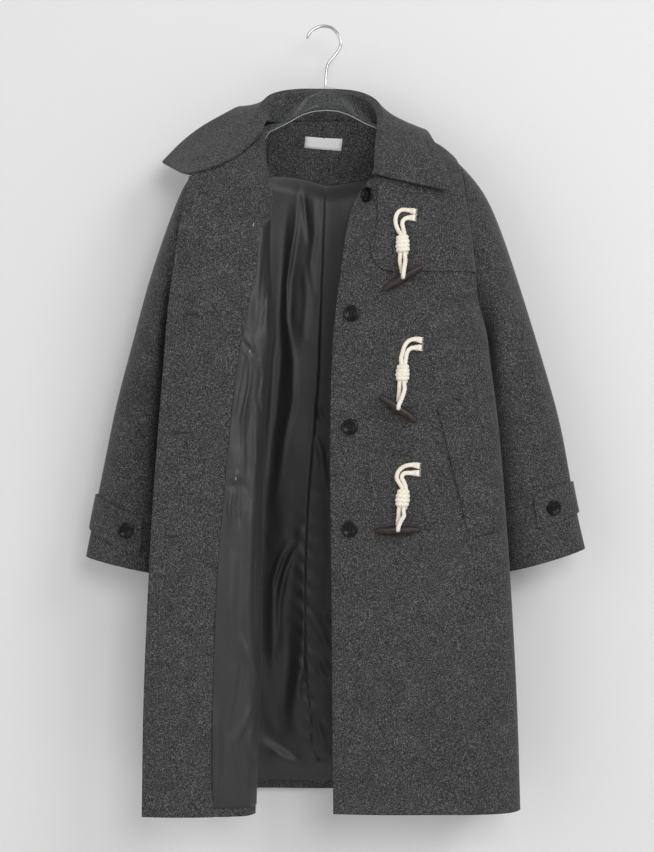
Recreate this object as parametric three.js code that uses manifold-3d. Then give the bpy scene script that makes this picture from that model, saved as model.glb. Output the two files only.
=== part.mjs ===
// Duffle coat hanging open on a clothes hanger. Millimetres, X right, Y away from the viewer, Z up.
// The origin is the seat inside the top of the hanger's hook.
import * as THREE from "three";
import { mergeVertices } from "three/addons/utils/BufferGeometryUtils.js";
import Module from "manifold-3d";

const wasm = await Module();
wasm.setup();

// Cloth thicknesses and gaps
const WOOL = 2.2;
const LINING = 1.0;
const FACING = 1.6;
const COLLAR_CLOTH = 4.5;
const GAP = 0.3;
const SEAM_INSET = 0.2;

// Heights that the whole coat shares
const UNDERARM_Z = -455;
const HEM_Z = -1163;
const YOKE_ROWS = 8;
const LOWER_HEIGHTS = [-495, -550, -620, -710, -810, -910, -1010, -1090, -1150, HEM_Z];
const ROLL_OFF = 60;

// Depths of the hanging cloth, front and back
const FRONT_MID_Y = -87;
const FRONT_EDGE_Y = -80;
const BACK_Y = 72;
const UNDER_LAYER_Y = -58;
const RING_DEPTH = 59;

const vec = (x, y, z) => new THREE.Vector3(x, y, z);
const mix = (a, b, t) => a + (b - a) * t;
const clamp01 = (t) => Math.min(1, Math.max(0, t));
const smooth = (t) => clamp01(t) ** 2 * (3 - 2 * clamp01(t));

// A short table: a line of column names and rows of numbers, as a list of named rows.
function table(names, rows) {
  const keys = names.split(" ");
  return rows.map((row) => Object.fromEntries(row.map((value, k) => [keys[k], value])));
}

// The value of one column at height z, straight between the table's rows.
function at(rows, key, z) {
  let k = 0;
  while (k < rows.length - 2 && z < rows[k + 1].z) k += 1;
  const t = clamp01((rows[k].z - z) / (rows[k].z - rows[k + 1].z));
  return mix(rows[k][key], rows[k + 1][key], t);
}

// Front edge of the wearer's left front, from the neck to the hem.
const frontEdge = table("z x", [
  [-237, 66], [-250, 54], [-274, 40.5], [-306, 32], [-382, 22], [-464, 12],
  [-537, 8.5], [-753, 7.4], [-820, 9.8], [-1163, 12],
]);
// The wearer's left side fold, with the side seam set back behind it.
const leftSide = table("z x", [[-455, 236], [-540, 249], [-604, 257], [-732, 267], [-844, 275], [-1010,
  283.5], [-1163, 288]]);
// The wearer's right side fold, hidden behind the turned front.
const rightSide = table("z x", [[-455, 222], [-560, 231], [-700, 240], [-900, 247], [-1163, 252]]);
// Edge of the turned front.
const turnedEdge = table("z x y", [
  [-236, -198, -75], [-267, -204, -82], [-317, -212, -88], [-428, -227, -92], [-575, -238, -95],
  [-700, -248, -96], [-850, -256, -97], [-994, -262, -97], [-1163, -264, -97],
]);
// Fold along which the right front is turned back, and half the distance between its two layers.
const turnLine = table("z x y half", [
  [-151, -91, -6, 4], [-197, -91, -40, 8], [-237, -83, -55, 12], [-273, -76, -63, 15], [-292, -81, -66, 16],
  [-374, -81, -74, 18], [-439, -74, -76, 18], [-540, -84, -77, 18], [-655, -92, -77, 18], [-771, -92,
    -77, 18],
  [-965, -92, -77, 18], [-1032, -97.5, -77, 18], [-1163, -101, -77, 18],
]);
// Line where the turned front's wool facing meets its lining.
const facingLine = table("z x", [
  [-200, -93], [-299, -91], [-328, -95], [-376, -100], [-430, -115], [-475, -121], [-540, -131], [-666,
    -143],
  [-816, -156], [-1050, -164], [-1163, -161],
]);
// Soft vertical folds: x and z of the middle, half widths, and depth towards the back (plus) or the viewer.
const frontFolds = table("x z halfX halfZ depth", [[155, -930, 16, 190, 7], [60, -1010, 30, 160, -3],
  [222, -1000, 20, 180, -4]]);
const backFolds = table("x z halfX halfZ depth", [[-90, -980, 30, 210, 6], [95, -930, 28, 230, 6], [0,
  -1040, 24, 160, -4]]);

function foldAt(folds, { x, y, z }) {
  let sum = 0;
  for (const f of folds) {
    sum += f.depth * Math.exp(-(((x - f.x) / f.halfX) ** 2) - ((z - f.z) / f.halfZ) ** 2);
  }
  return sum * smooth((Math.abs(y) - 40) / 25);
}

// Armholes: each is an ellipse from the shoulder tip down to the underarm.
const armhole = {
  left: { top: vec(201, 0, -205), bottom: vec(232, 0, UNDERARM_Z) },
  right: { top: vec(-186, 0, -207), bottom: vec(-218, 0, UNDERARM_Z) },
};
function ringPoint(top, bottom, depth, angle) {
  const centre = top.clone().add(bottom).multiplyScalar(0.5);
  const half = top.clone().sub(bottom).multiplyScalar(0.5);
  return centre.addScaledVector(half, Math.cos(angle)).add(vec(0, -depth * Math.sin(angle), 0));
}
const armholePoint = (side, row, facing) =>
  ringPoint(armhole[side].top, armhole[side].bottom, facing * RING_DEPTH, (Math.PI * row) / YOKE_ROWS);

// Points at even steps of a smooth line through the given points; steps is a list of places along it, 0
// to 1.
function along(points, steps) {
  const curve = new THREE.CatmullRomCurve3(points, false, "centripetal");
  return steps.map((t) => curve.getPoint(t));
}
const even = (count) => Array.from({ length: count + 1 }, (_, k) => k / count);

// The upper part of a panel, between its top seam and the section at the underarm. Each row's ends lie
// on the
// panel's two edges, and the depth eases from the seam's to the hanging cloth's within about ROLL_OFF. A
// higher
// grip keeps the armhole's own depth closer to it.
function yoke({ top, section, start, end, grip }) {
  const rows = [];
  const last = top.length - 1;
  const first = section[0];
  const final = section[last];
  for (let i = 0; i < YOKE_ROWS; i += 1) {
    const w = i / YOKE_ROWS;
    rows.push(top.map((seam, j) => {
      const u = j / last;
      const ends = (a, b, key) => (1 - u) * a[key] + u * b[key];
      const base = (key) => section[j][key] + (1 - u) * (start[i][key] - first[key])
        + u * (end[i][key] - final[key]);
      const lift = (key) => seam[key] - section[j][key] - ends(top[0], top[last], key) + ends(first,
        final, key);
      const x = base("x") + (1 - w) * lift("x");
      const z = base("z") + (1 - w) * lift("z");
      const near = (1 - u) ** grip;
      const far = u ** grip;
      const y = section[j].y + near * (start[i].y - first.y) + far * (end[i].y - final.y);
      const seamY = section[j].y + near * (top[0].y - first.y) + far * (top[last].y - final.y);
      const eased = Math.exp(-Math.max(0, seam.z - z) / ROLL_OFF);
      return vec(x, y + eased * (seam.y - seamY), z);
    }));
  }
  return rows;
}

// Section of a hanging front or back at one height, from its free edge round the side fold to the side
// seam.
// outward is -1 for a front and 1 for a back, side is 1 on the wearer's left.
function sideCurve(flat, foldX, z, outward, side) {
  const foldY = outward < 0 ? -45 : 60;
  const seamY = 5;
  const shoulderIn = outward < 0 ? 16 : 30;
  const foldIn = outward < 0 ? 0 : 15;
  const midIn = outward < 0 ? 23 : 27;
  return [
    ...flat,
    vec(side * (foldX - shoulderIn), flat.at(-1).y * 0.86, z),
    vec(side * (foldX - foldIn), foldY, z),
    vec(side * (foldX - midIn), outward < 0 ? -16 : 32, z),
    vec(side * (foldX - 30), seamY, z),
  ];
}
// The same at the underarm without the side fold: the shape that the cloth has beside the armhole.
function openCurve(flat, foldX, outward, side, seam) {
  return [
    ...flat,
    vec(side * (foldX - 34), flat.at(-1).y * 0.95, UNDERARM_Z),
    vec(side * (foldX - 14), outward * 66, UNDERARM_Z),
    vec(side * (foldX - 7), outward * 36, UNDERARM_Z),
    seam.clone(),
  ];
}

// One vertex grid per panel: rows go down from the top seam, columns go across.
const sideSeam = (foldX, z, side, underarm) => {
  const t = smooth((UNDERARM_Z - z) / 60);
  return vec(mix(underarm.x, side * (foldX - 30), t), mix(underarm.y, 5, t), z);
};

// Wearer's left front
const FRONT_STEPS = [0, 0.055, 0.11, 0.167, 0.222, 0.278, 0.333, 0.39, 0.445, 0.5, 0.583, 0.667, 0.75,
  0.833, 1];
function leftFrontSection(z, open) {
  const edgeX = at(frontEdge, "x", z);
  const foldX = at(leftSide, "x", z);
  const flat = [
    vec(edgeX, FRONT_EDGE_Y, z),
    vec(mix(edgeX, foldX, 0.3), FRONT_MID_Y, z),
    vec(mix(edgeX, foldX, 0.62), FRONT_MID_Y + 1, z),
  ];
  const curve = open
    ? openCurve(flat, foldX, -1, 1, armhole.left.bottom)
    : sideCurve(flat, foldX, z, -1, 1);
  curve[curve.length - 1] = sideSeam(foldX, z, 1, armhole.left.bottom);
  return along(curve, FRONT_STEPS).map((p) => p.add(vec(0, foldAt(frontFolds, p), 0)));
}
const NECK_COLUMNS = 4;
const leftNeckSeam = [vec(66, -60, -237), vec(79, -62, -238), vec(88, -55, -215), vec(95, -35, -180),
  vec(96, 0, -150)];
const leftShoulder = [vec(96, 0, -150), vec(130, 0, -161), vec(166, 0, -174), vec(191, 0, -193),
  armhole.left.top];
const frontLeftTop = [
  ...along(leftNeckSeam, even(NECK_COLUMNS)).slice(0, -1),
  ...along(leftShoulder, even(FRONT_STEPS.length - 1 - NECK_COLUMNS)),
];
const sideRows = (side, facing) => even(YOKE_ROWS).map((_, i) => armholePoint(side, i, facing));

// The section that a yoke row starts from: unfolded beside the armhole, folded at the underarm.
function blendSections(open, closed, row) {
  const w = (row / YOKE_ROWS) ** 2;
  return open.map((p, j) => p.clone().lerp(closed[j], w));
}
function upperRows(top, open, closed, start, end, grip = 4) {
  const rows = [];
  for (let i = 0; i < YOKE_ROWS; i += 1) {
    rows.push(yoke({ top, section: blendSections(open, closed, i), start, end, grip })[i]);
  }
  return rows;
}
const edgeHeights = (from) => even(YOKE_ROWS).map((t) => mix(from, UNDERARM_Z, t));
const frontLeftGrid = [
  ...upperRows(
    frontLeftTop,
    leftFrontSection(UNDERARM_Z, true),
    leftFrontSection(UNDERARM_Z, false),
    edgeHeights(-237).map((z) => vec(at(frontEdge, "x", z), mix(-60, FRONT_EDGE_Y,
      smooth((-237 - z) / 90)), z)),
    sideRows("left", 1),
  ),
  ...[UNDERARM_Z, ...LOWER_HEIGHTS].map((z) => leftFrontSection(z, false)),
];

// Back, from the wearer's left side seam to the right one
const BACK_NECK_COLUMNS = 8;
function halfBack(z, open, side) {
  const name = side > 0 ? "left" : "right";
  const foldX = at(side > 0 ? leftSide : rightSide, "x", z);
  const depth = BACK_Y + 6 * smooth((UNDERARM_Z - z) / 700);
  const flat = [vec(0, depth, z), vec(side * 0.4 * foldX, depth, z), vec(side * 0.66 * foldX, depth - 2,
    z)];
  const curve = open
    ? openCurve(flat, foldX, 1, side, armhole[name].bottom)
    : sideCurve(flat, foldX, z, 1, side);
  curve[curve.length - 1] = sideSeam(foldX, z, side, armhole[name].bottom);
  return along(curve, [0, 0.06, 0.12, 0.18, 0.24, 0.32, 0.41, 0.5, 0.583, 0.667, 0.75, 0.85, 1])
    .map((p) => p.add(vec(0, foldAt(backFolds, p), 0)));
}
function backSection(z, open) {
  return [...halfBack(z, open, 1).reverse(), ...halfBack(z, open, -1).slice(1)];
}
const BACK_COLUMNS = backSection(UNDERARM_Z, false).length - 1;
const SHOULDER_COLUMNS = (BACK_COLUMNS - BACK_NECK_COLUMNS) / 2;
const rightShoulder = [vec(-91, 0, -151), vec(-125, 0, -164), vec(-155, 0, -178), armhole.right.top];
const backNeck = [
  vec(96, 0, -150), vec(86, 24, -140), vec(60, 42, -135), vec(0, 53, -132),
  vec(-60, 42, -135), vec(-84, 22, -141), vec(-91, 0, -151),
];
const backTop = [
  ...along(leftShoulder, even(SHOULDER_COLUMNS)).reverse().slice(0, -1),
  ...along(backNeck, even(BACK_NECK_COLUMNS)),
  ...along(rightShoulder, even(SHOULDER_COLUMNS)).slice(1),
];
const backGrid = [
  ...upperRows(
    backTop,
    backSection(UNDERARM_Z, true),
    backSection(UNDERARM_Z, false),
    sideRows("left", -1),
    sideRows("right", -1),
    12,
  ),
  ...[UNDERARM_Z, ...LOWER_HEIGHTS].map((z) => backSection(z, false)),
];

// Wearer's right front: the under layer from the side seam to the turn, then the turned layer to the edge
const UNDER_STEPS = [0, 0.12, 0.25, 0.375, 0.5, 0.62, 0.72, 0.81, 0.88, 0.94, 1];
const TURN_ANGLES = [-60, 0, 60];
const LINING_COLUMNS = 4;
const FACING_COLUMNS = 5;
const turnPoint = (z, degrees) => {
  const angle = (degrees * Math.PI) / 180;
  const half = at(turnLine, "half", z);
  return vec(at(turnLine, "x", z) - half * (1 - Math.cos(angle)), at(turnLine, "y",
    z) - half * Math.sin(angle), z);
};
function underSection(z, open) {
  const foldX = at(rightSide, "x", z);
  const inner = turnPoint(z, -90);
  const flat = [inner, vec(-130, UNDER_LAYER_Y, z), vec(-165, UNDER_LAYER_Y, z)];
  const tail = open
    ? [vec(-foldX + 24, -56, z), vec(-foldX + 11, -50, z), vec(-foldX + 6, -30, z),
      armhole.right.bottom.clone()]
    : [vec(-foldX + 12, -56, z), vec(-foldX, -44, z), vec(-foldX + 22, -16, z),
      sideSeam(foldX, z, -1, armhole.right.bottom)];
  return along([...flat, ...tail], UNDER_STEPS).reverse();
}
const underTop = along([...rightShoulder].reverse(), even(UNDER_STEPS.length - 1));
const underGrid = [
  ...upperRows(
    underTop,
    underSection(UNDERARM_Z, true),
    underSection(UNDERARM_Z, false),
    sideRows("right", 1),
    edgeHeights(-151).map((z) => turnPoint(z, -90)),
  ),
  ...[UNDERARM_Z, ...LOWER_HEIGHTS].map((z) => underSection(z, false)),
];

const turnedNeckSeam = [
  vec(-91, -8, -151), vec(-99, -30, -178), vec(-111, -45, -191), vec(-125, -55, -205),
  vec(-158, -67, -224), vec(-175, -72, -229), vec(-198, -75, -236),
];
function turnedSection(z) {
  const start = turnPoint(z, 90);
  const seam = vec(at(facingLine, "x", z), -100, z);
  const end = vec(at(turnedEdge, "x", z), at(turnedEdge, "y", z), z);
  const bulge = (t) => -4 * Math.sin(Math.PI * t);
  const lining = even(LINING_COLUMNS).map((t) => vec(mix(start.x, seam.x, t), mix(start.y, -99,
    smooth(t * 1.4)), z));
  const facing = even(FACING_COLUMNS).slice(1)
    .map((t) => vec(mix(seam.x, end.x, t), mix(-99, end.y, t) + bulge(t), z));
  return [...lining, ...facing];
}
const TURNED_COLUMNS = LINING_COLUMNS + FACING_COLUMNS;
const turnedTop = along(turnedNeckSeam, even(TURNED_COLUMNS));
const turnedGrid = [
  ...upperRows(
    turnedTop,
    turnedSection(UNDERARM_Z),
    turnedSection(UNDERARM_Z),
    edgeHeights(-151).map((z) => turnPoint(z, 90)),
    edgeHeights(-236).map((z) => vec(at(turnedEdge, "x", z), at(turnedEdge, "y", z), z)),
  ),
  ...[UNDERARM_Z, ...LOWER_HEIGHTS].map(turnedSection),
];
// The top row closes to a small fold at the neck point.
const turnRows = [...edgeHeights(-151).slice(0, -1), UNDERARM_Z, ...LOWER_HEIGHTS]
  .map((z) => TURN_ANGLES.map((degrees) => turnPoint(z, degrees)));
turnedGrid[0][0] = turnPoint(-151, 90);
underGrid[0][underGrid[0].length - 1] = turnPoint(-151, -90);
const frontRightGrid = underGrid.map((row, i) => [...row, ...turnRows[i], ...turnedGrid[i]]);
const TURNED_START = UNDER_STEPS.length + TURN_ANGLES.length;

// Outward normals of a grid; facing is 1 or -1 so that they point out of the coat.
function normalsOf(grid, facing, wraps = false) {
  const rows = grid.length;
  const cols = grid[0].length;
  return grid.map((row, i) => row.map((_, j) => {
    const up = grid[Math.max(0, i - 1)][j];
    const down = grid[Math.min(rows - 1, i + 1)][j];
    const left = wraps ? row[(j + cols - 1) % cols] : row[Math.max(0, j - 1)];
    const right = wraps ? row[(j + 1) % cols] : row[Math.min(cols - 1, j + 1)];
    return right.clone().sub(left).cross(up.clone().sub(down)).normalize().multiplyScalar(facing);
  }));
}
// Seams: where two panels share a point they take the mean of their normals.
function shareNormals(panels) {
  const all = panels.flatMap(({ grid, normals }) => grid.flatMap((row, i) => row.map((p, j) => ({ p,
    n: normals[i][j] }))));
  const groups = new Map();
  for (const item of all) {
    const key = [item.p.x, item.p.y, item.p.z].map((value) => Math.round(value * 5 + 0.13)).join();
    if (!groups.has(key)) groups.set(key, []);
    groups.get(key).push(item.n);
  }
  for (const list of groups.values()) {
    if (list.length < 2) continue;
    const mean = list.reduce((sum, n) => sum.add(n), vec(0, 0, 0)).normalize();
    for (const n of list) n.copy(mean);
  }
}

// A closed wall over the grid cells that inside(i, j) chooses, between two offsets along the normals. Its
// free edges are drawn in by SEAM_INSET, so that neighbours keep their seam gap.
function wall({ grid, normals, from, to, inside = () => true, wraps = false, inset = SEAM_INSET, fit }) {
  const rows = grid.length - 1;
  const cols = wraps ? grid[0].length : grid[0].length - 1;
  const width = grid[0].length;
  const used = (i, j) => {
    if (wraps) return i >= 0 && i < rows && inside(i, (j + cols) % cols);
    return i >= 0 && j >= 0 && i < rows && j < cols && inside(i, j);
  };
  const points = [];
  const index = new Map();
  const place = (i, j, layer) => {
    const column = wraps ? (j + width) % width : j;
    const key = `${i},${column},${layer}`;
    if (index.has(key)) return index.get(key);
    const inward = vec(0, 0, 0);
    const cells = [[-1, -1], [-1, 0], [0, -1], [0, 0]].filter(([a, b]) => used(i + a, j + b));
    if (cells.length < 4) {
      for (const [a, b] of cells) {
        const di = a < 0 ? -1 : 1;
        const dj = b < 0 ? -1 : 1;
        const across = grid[i][(column + dj + width) % width].clone().sub(grid[i][column]).normalize();
        const down = grid[i + di][column].clone().sub(grid[i][column]).normalize();
        inward.add(across).add(down);
      }
      const drawnIn = inset * (cells.length === 1 ? 1.4 : 1);
      if (cells.length && inward.length() > 0.3) inward.normalize().multiplyScalar(drawnIn);
    }
    const offset = layer ? to : from;
    const p = grid[i][column].clone().add(inward).addScaledVector(normals[i][column], offset);
    if (fit) fit(p, i, column);
    points.push(p);
    index.set(key, points.length - 1);
    return points.length - 1;
  };
  const faces = [];
  const quad = (a, b, c, d) => faces.push([a, b, c], [a, c, d]);
  for (let i = 0; i < rows; i += 1) {
    for (let j = 0; j < cols; j += 1) {
      if (!used(i, j)) continue;
      const corner = (di, dj, layer) => place(i + di, j + dj, layer);
      quad(corner(0, 0, 1), corner(0, 1, 1), corner(1, 1, 1), corner(1, 0, 1));
      quad(corner(0, 0, 0), corner(1, 0, 0), corner(1, 1, 0), corner(0, 1, 0));
      if (!used(i - 1, j)) quad(corner(0, 0, 0), corner(0, 1, 0), corner(0, 1, 1), corner(0, 0, 1));
      if (!used(i + 1, j)) quad(corner(1, 1, 0), corner(1, 0, 0), corner(1, 0, 1), corner(1, 1, 1));
      if (!used(i, j - 1)) quad(corner(1, 0, 0), corner(0, 0, 0), corner(0, 0, 1), corner(1, 0, 1));
      if (!used(i, j + 1)) quad(corner(0, 1, 0), corner(1, 1, 0), corner(1, 1, 1), corner(0, 1, 1));
    }
  }
  return closedGeometry(points, faces);
}

// A geometry from points and triangles, turned so that it faces out.
function closedGeometry(points, faces) {
  let volume = 0;
  for (const [a, b, c] of faces) {
    volume += points[a].dot(points[b].clone().cross(points[c]));
  }
  const flat = faces.flatMap(([a, b, c]) => (volume < 0 ? [a, c, b] : [a, b, c]));
  const geometry = new THREE.BufferGeometry().setFromPoints(points);
  geometry.setIndex(flat);
  geometry.computeVertexNormals();
  return geometry;
}

const coat = new THREE.Group();
function add(name, geometry, { color, roughness, metalness = 0, opacity = 1 }) {
  const material = new THREE.MeshStandardMaterial({ color, roughness, metalness, opacity,
    transparent: opacity < 1 });
  const mesh = new THREE.Mesh(geometry, material);
  mesh.name = name;
  coat.add(mesh);
  return mesh;
}

// Finishes
const wool = { color: "#4a4b4d", roughness: 0.95 };
const satin = { color: "#43454a", roughness: 0.45 };
const cream = { color: "#ddd6c4", roughness: 0.85 };
const darkWood = { color: "#33241f", roughness: 0.4 };
const horn = { color: "#1d1a1a", roughness: 0.3 };
const white = { color: "#e6e6e4", roughness: 0.8 };
const clear = { color: "#dfe3e6", roughness: 0.1, opacity: 0.4 };
const steel = { color: "#b9babc", roughness: 0.25, metalness: 1 };

// Body panels
const panels = {
  frontLeft: { grid: frontLeftGrid, normals: normalsOf(frontLeftGrid, 1) },
  back: { grid: backGrid, normals: normalsOf(backGrid, 1) },
  frontRight: { grid: frontRightGrid, normals: normalsOf(frontRightGrid, 1) },
};
shareNormals(Object.values(panels));

// Keeps a point of a piece on its own side of the plane of an armhole.
function armholePlane(side) {
  const { top, bottom } = armhole[side];
  const sign = side === "left" ? 1 : -1;
  const down = bottom.clone().sub(top).normalize();
  const normal = vec(0, 1, 0).cross(down).normalize();
  if (normal.x * sign < 0) normal.negate();
  return { normal, origin: top };
}
function keepBody(side, p) {
  const { normal, origin } = armholePlane(side);
  const past = p.clone().sub(origin).dot(normal) + SEAM_INSET;
  if (past > 0) p.addScaledVector(normal, -past);
}
function keepSleeve(side, p) {
  const { normal, origin } = armholePlane(side);
  const short = SEAM_INSET - p.clone().sub(origin).dot(normal);
  if (short > 0) p.addScaledVector(normal, short);
}
const LAST_FRONT = FRONT_STEPS.length - 1;
add("front_left", wall({
  ...panels.frontLeft, from: 0, to: WOOL,
  fit: (p, i, j) => i <= YOKE_ROWS && j === LAST_FRONT && keepBody("left", p),
}), wool);
add("back", wall({
  ...panels.back, from: 0, to: WOOL,
  fit: (p, i, j) => {
    if (i <= YOKE_ROWS && j === 0) keepBody("left", p);
    if (i <= YOKE_ROWS && j === BACK_COLUMNS) keepBody("right", p);
  },
}), wool);
add("front_right", wall({
  ...panels.frontRight, from: 0, to: WOOL,
  fit: (p, i, j) => i <= YOKE_ROWS && j === 0 && keepBody("right", p),
}), wool);

// Facings and linings lie on the inside of the same grids.
const SEAM_COLUMN = TURNED_START + LINING_COLUMNS;
const LAST_ROW = frontRightGrid.length - 1;
const ALL_WOOL_ROWS = 3;
const inFacing = (i, j) => j >= (i < ALL_WOOL_ROWS ? UNDER_STEPS.length : SEAM_COLUMN);
const inLining = (i, j) => i >= ALL_WOOL_ROWS && i < LAST_ROW - 1 && j >= UNDER_STEPS.length - 1
  && j < SEAM_COLUMN;
add("facing_right", wall({ ...panels.frontRight, from: -GAP - FACING, to: -GAP, inside: inFacing }), wool);
add("lining_right", wall({ ...panels.frontRight, from: -GAP - LINING, to: -GAP, inside: inLining }), satin);
add("facing_left", wall({ ...panels.frontLeft, from: -GAP - FACING, to: -GAP, inside: (i,
  j) => i >= 2 && j < 3 }), wool);
const NECK_FIRST = SHOULDER_COLUMNS + 1;
const NECK_LAST = SHOULDER_COLUMNS + BACK_NECK_COLUMNS - 2;
const inNeckFacing = (i, j) => i < 2 && j >= NECK_FIRST && j <= NECK_LAST;
const inBackLining = (i, j) => i >= 2 && i < LAST_ROW - 1 && j >= 4 && j < BACK_COLUMNS - 4;
add("back_neck_facing", wall({ ...panels.back, from: -GAP - FACING, to: -GAP, inside: inNeckFacing }),
  wool);
add("lining_back", wall({ ...panels.back, from: -GAP - LINING, to: -GAP, inside: inBackLining }), satin);

// Sleeves: rings from the armhole to the cuff, each with its upper and lower point and half depth.
const leftRings = table("topX topZ bottomX bottomZ depth", [
  [224, -228, 243, -466, 57], [246, -262, 249, -482, 56], [268, -318, 250, -503, 54], [292, -391, 247,
    -535, 51],
  [316, -467, 247, -572, 47], [335, -530, 251, -608, 44], [350, -582, 256, -648, 42], [361, -635, 261,
    -690, 40],
  [370, -690, 266, -735, 38], [380, -738, 270, -772, 35], [391, -783, 275, -818, 32],
]);
const rightRings = table("topX topZ bottomX bottomZ depth", [
  [-209, -232, -230, -468, 57], [-226, -275, -238, -488, 56], [-244, -325, -241, -508, 53], [-265, -387,
    -238, -535, 50],
  [-284, -460, -236, -572, 46], [-302, -525, -237, -610, 43], [-317, -585, -240, -648, 41], [-326, -632,
    -243, -690, 39],
  [-336, -680, -245, -735, 37], [-347, -735, -246, -775, 35], [-359, -795, -247, -822, 32],
]);
const AROUND = 2 * YOKE_ROWS;
function sleeveGrid(side, rings) {
  const { top, bottom } = armhole[side];
  const all = [{ top, bottom, depth: RING_DEPTH }];
  for (const r of rings) {
    all.push({ top: vec(r.topX, 0, r.topZ), bottom: vec(r.bottomX, 0, r.bottomZ), depth: r.depth });
  }
  return all.map((ring) => Array.from({ length: AROUND }, (_, k) =>
    ringPoint(ring.top, ring.bottom, ring.depth, (2 * Math.PI * k) / AROUND)));
}
const sleeves = {};
for (const [side, rings] of [["left", leftRings], ["right", rightRings]]) {
  const grid = sleeveGrid(side, rings);
  const normals = normalsOf(grid, side === "left" ? -1 : 1, true);
  sleeves[side] = { grid, normals };
  add(`sleeve_${side}`, wall({
    grid, normals, from: 0, to: WOOL, wraps: true, inset: 0, fit: (p, i) => i === 0 && keepSleeve(side, p),
  }), wool);
}

// Collar: stations from the wearer's left front end round the neck to the turned end. crown is the top
// of the
// roll, out is the way the fall turns over, and fold is 1 where it is folded down and 0 where it lies open.
const collarStations = table("sx sy sz cx cy cz ex ey ez out fold", [
  [70, -66, -230, 72, -80, -232, 181, -84, -259, -30, 0.2],
  [79, -68, -221, 75, -77, -216, 178, -76, -233, -25, 0.6],
  [81, -59, -200, 79, -63, -190, 170, -55, -201, -15, 0.9],
  [87, -35, -168, 84, -36, -156, 160, -22, -174, -5, 1],
  [94, -5, -144, 85, -6, -125, 150, 10, -150, 5, 1],
  [87, 22, -137, 77, 16, -106, 125, 46, -158, 35, 1],
  [62, 42, -132, 55, 34, -91, 85, 68, -168, 65, 1],
  [30, 51, -130, 28, 42, -85, 42, 75, -176, 82, 1],
  [0, 53, -129, 0, 45, -84, 0, 78, -178, 90, 1],
  [-30, 51, -130, -28, 42, -84, -44, 77, -172, 98, 1],
  [-60, 42, -132, -56, 36, -87, -84, 78, -150, 112, 1],
  [-84, 22, -138, -82, 33, -94, -112, 76, -120, 130, 0.8],
  [-88, -4, -139, -94, 22, -107, -128, 56, -107, 140, 0.4],
  [-94, -33, -163, -104, -5, -135, -142, 44, -115, 150, 0.1],
  [-125, -54, -199, -131, -22, -170, -158, 38, -125, 150, 0],
  [-158, -65, -220, -165, -35, -192, -185, 30, -142, 150, 0],
  [-180, -70, -227, -192, -44, -205, -215, 20, -167, 150, 0],
  [-197, -73, -232, -212, -50, -226, -245, 5, -202, 150, 0],
]);
const ROLL_HALF = 5.5;
function collarSection(s) {
  const seam = vec(s.sx, s.sy, s.sz);
  const crown = vec(s.cx, s.cy, s.cz);
  const edge = vec(s.ex, s.ey, s.ez);
  const out = vec(Math.cos((s.out * Math.PI) / 180), Math.sin((s.out * Math.PI) / 180), 0);
  const beside = (target, sign) => {
    const open = target.clone().sub(crown).normalize().multiplyScalar(8);
    const folded = out.clone().multiplyScalar(sign * ROLL_HALF).add(vec(0, 0, -6));
    return crown.clone().add(open.lerp(folded, s.fold));
  };
  const stand = beside(seam, -1);
  const fall = beside(edge, 1);
  const half = stand.clone().lerp(seam, 0.5);
  return [
    seam, half, stand, crown, fall,
    fall.clone().lerp(edge, 0.34), fall.clone().lerp(edge, 0.67), edge,
  ];
}
const COLLAR_STEPS = 2;
function collarGrid() {
  const sections = collarStations.map(collarSection);
  const lines = sections[0].map((_, k) => along(sections.map((s) => s[k]),
    even((sections.length - 1) * COLLAR_STEPS)));
  return lines[0].map((_, i) => lines.map((line) => line[i]));
}
const collar = { grid: collarGrid() };
collar.normals = normalsOf(collar.grid, 1);
add("collar", wall({ ...collar, from: -COLLAR_CLOTH / 2, to: COLLAR_CLOTH / 2 }), wool);

// Height of a surface over the plane of the coat: where the line along Y through x, z meets the outer side
// of a grid. side is -1 for the point nearest the viewer and 1 for the farthest.
function surfaceY({ grid, normals }, offset, x, z, side = -1) {
  let best = null;
  const point = (i, j) => grid[i][j].clone().addScaledVector(normals[i][j], offset);
  const test = (a, b, c) => {
    const d = (b.x - a.x) * (c.z - a.z) - (c.x - a.x) * (b.z - a.z);
    if (Math.abs(d) < 1e-9) return;
    const s = ((x - a.x) * (c.z - a.z) - (c.x - a.x) * (z - a.z)) / d;
    const t = ((b.x - a.x) * (z - a.z) - (x - a.x) * (b.z - a.z)) / d;
    if (s < -1e-6 || t < -1e-6 || s + t > 1 + 1e-6) return;
    const y = a.y + s * (b.y - a.y) + t * (c.y - a.y);
    if (best === null || side * y > side * best) best = y;
  };
  for (let i = 0; i < grid.length - 1; i += 1) {
    for (let j = 0; j < grid[0].length - 1; j += 1) {
      const [a, b, c, d] = [point(i, j), point(i, j + 1), point(i + 1, j + 1), point(i + 1, j)];
      test(a, b, c);
      test(a, c, d);
    }
  }
  if (best === null) throw new Error(`no surface at ${x}, ${z}`);
  return best;
}
const columnsOf = ({ grid, normals }, from, to) => ({
  grid: grid.map((row) => row.slice(from, to)),
  normals: normals.map((row) => row.slice(from, to)),
});
const onFront = (x, z) => surfaceY(panels.frontLeft, WOOL, x, z);

// A flat piece laid on a surface: outline(u, v) gives its x and z, lift is its gap and facing its side
// along Y.
function laidPiece({ outline, rows, cols, surface, lift, thickness, facing = -1 }) {
  const grid = even(rows).map((v) => even(cols).map((u) => {
    const [x, z] = outline(u, v);
    return vec(x, surface(x, z) + facing * lift, z);
  }));
  const normals = grid.map((row) => row.map(() => vec(0, facing, 0)));
  return wall({ grid, normals, from: 0, to: thickness, inset: 0 });
}
const between = (corners) => (u, v) => {
  const [tl, tr, br, bl] = corners;
  return [0, 1].map((k) => mix(mix(tl[k], tr[k], u), mix(bl[k], br[k], u), v));
};

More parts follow.
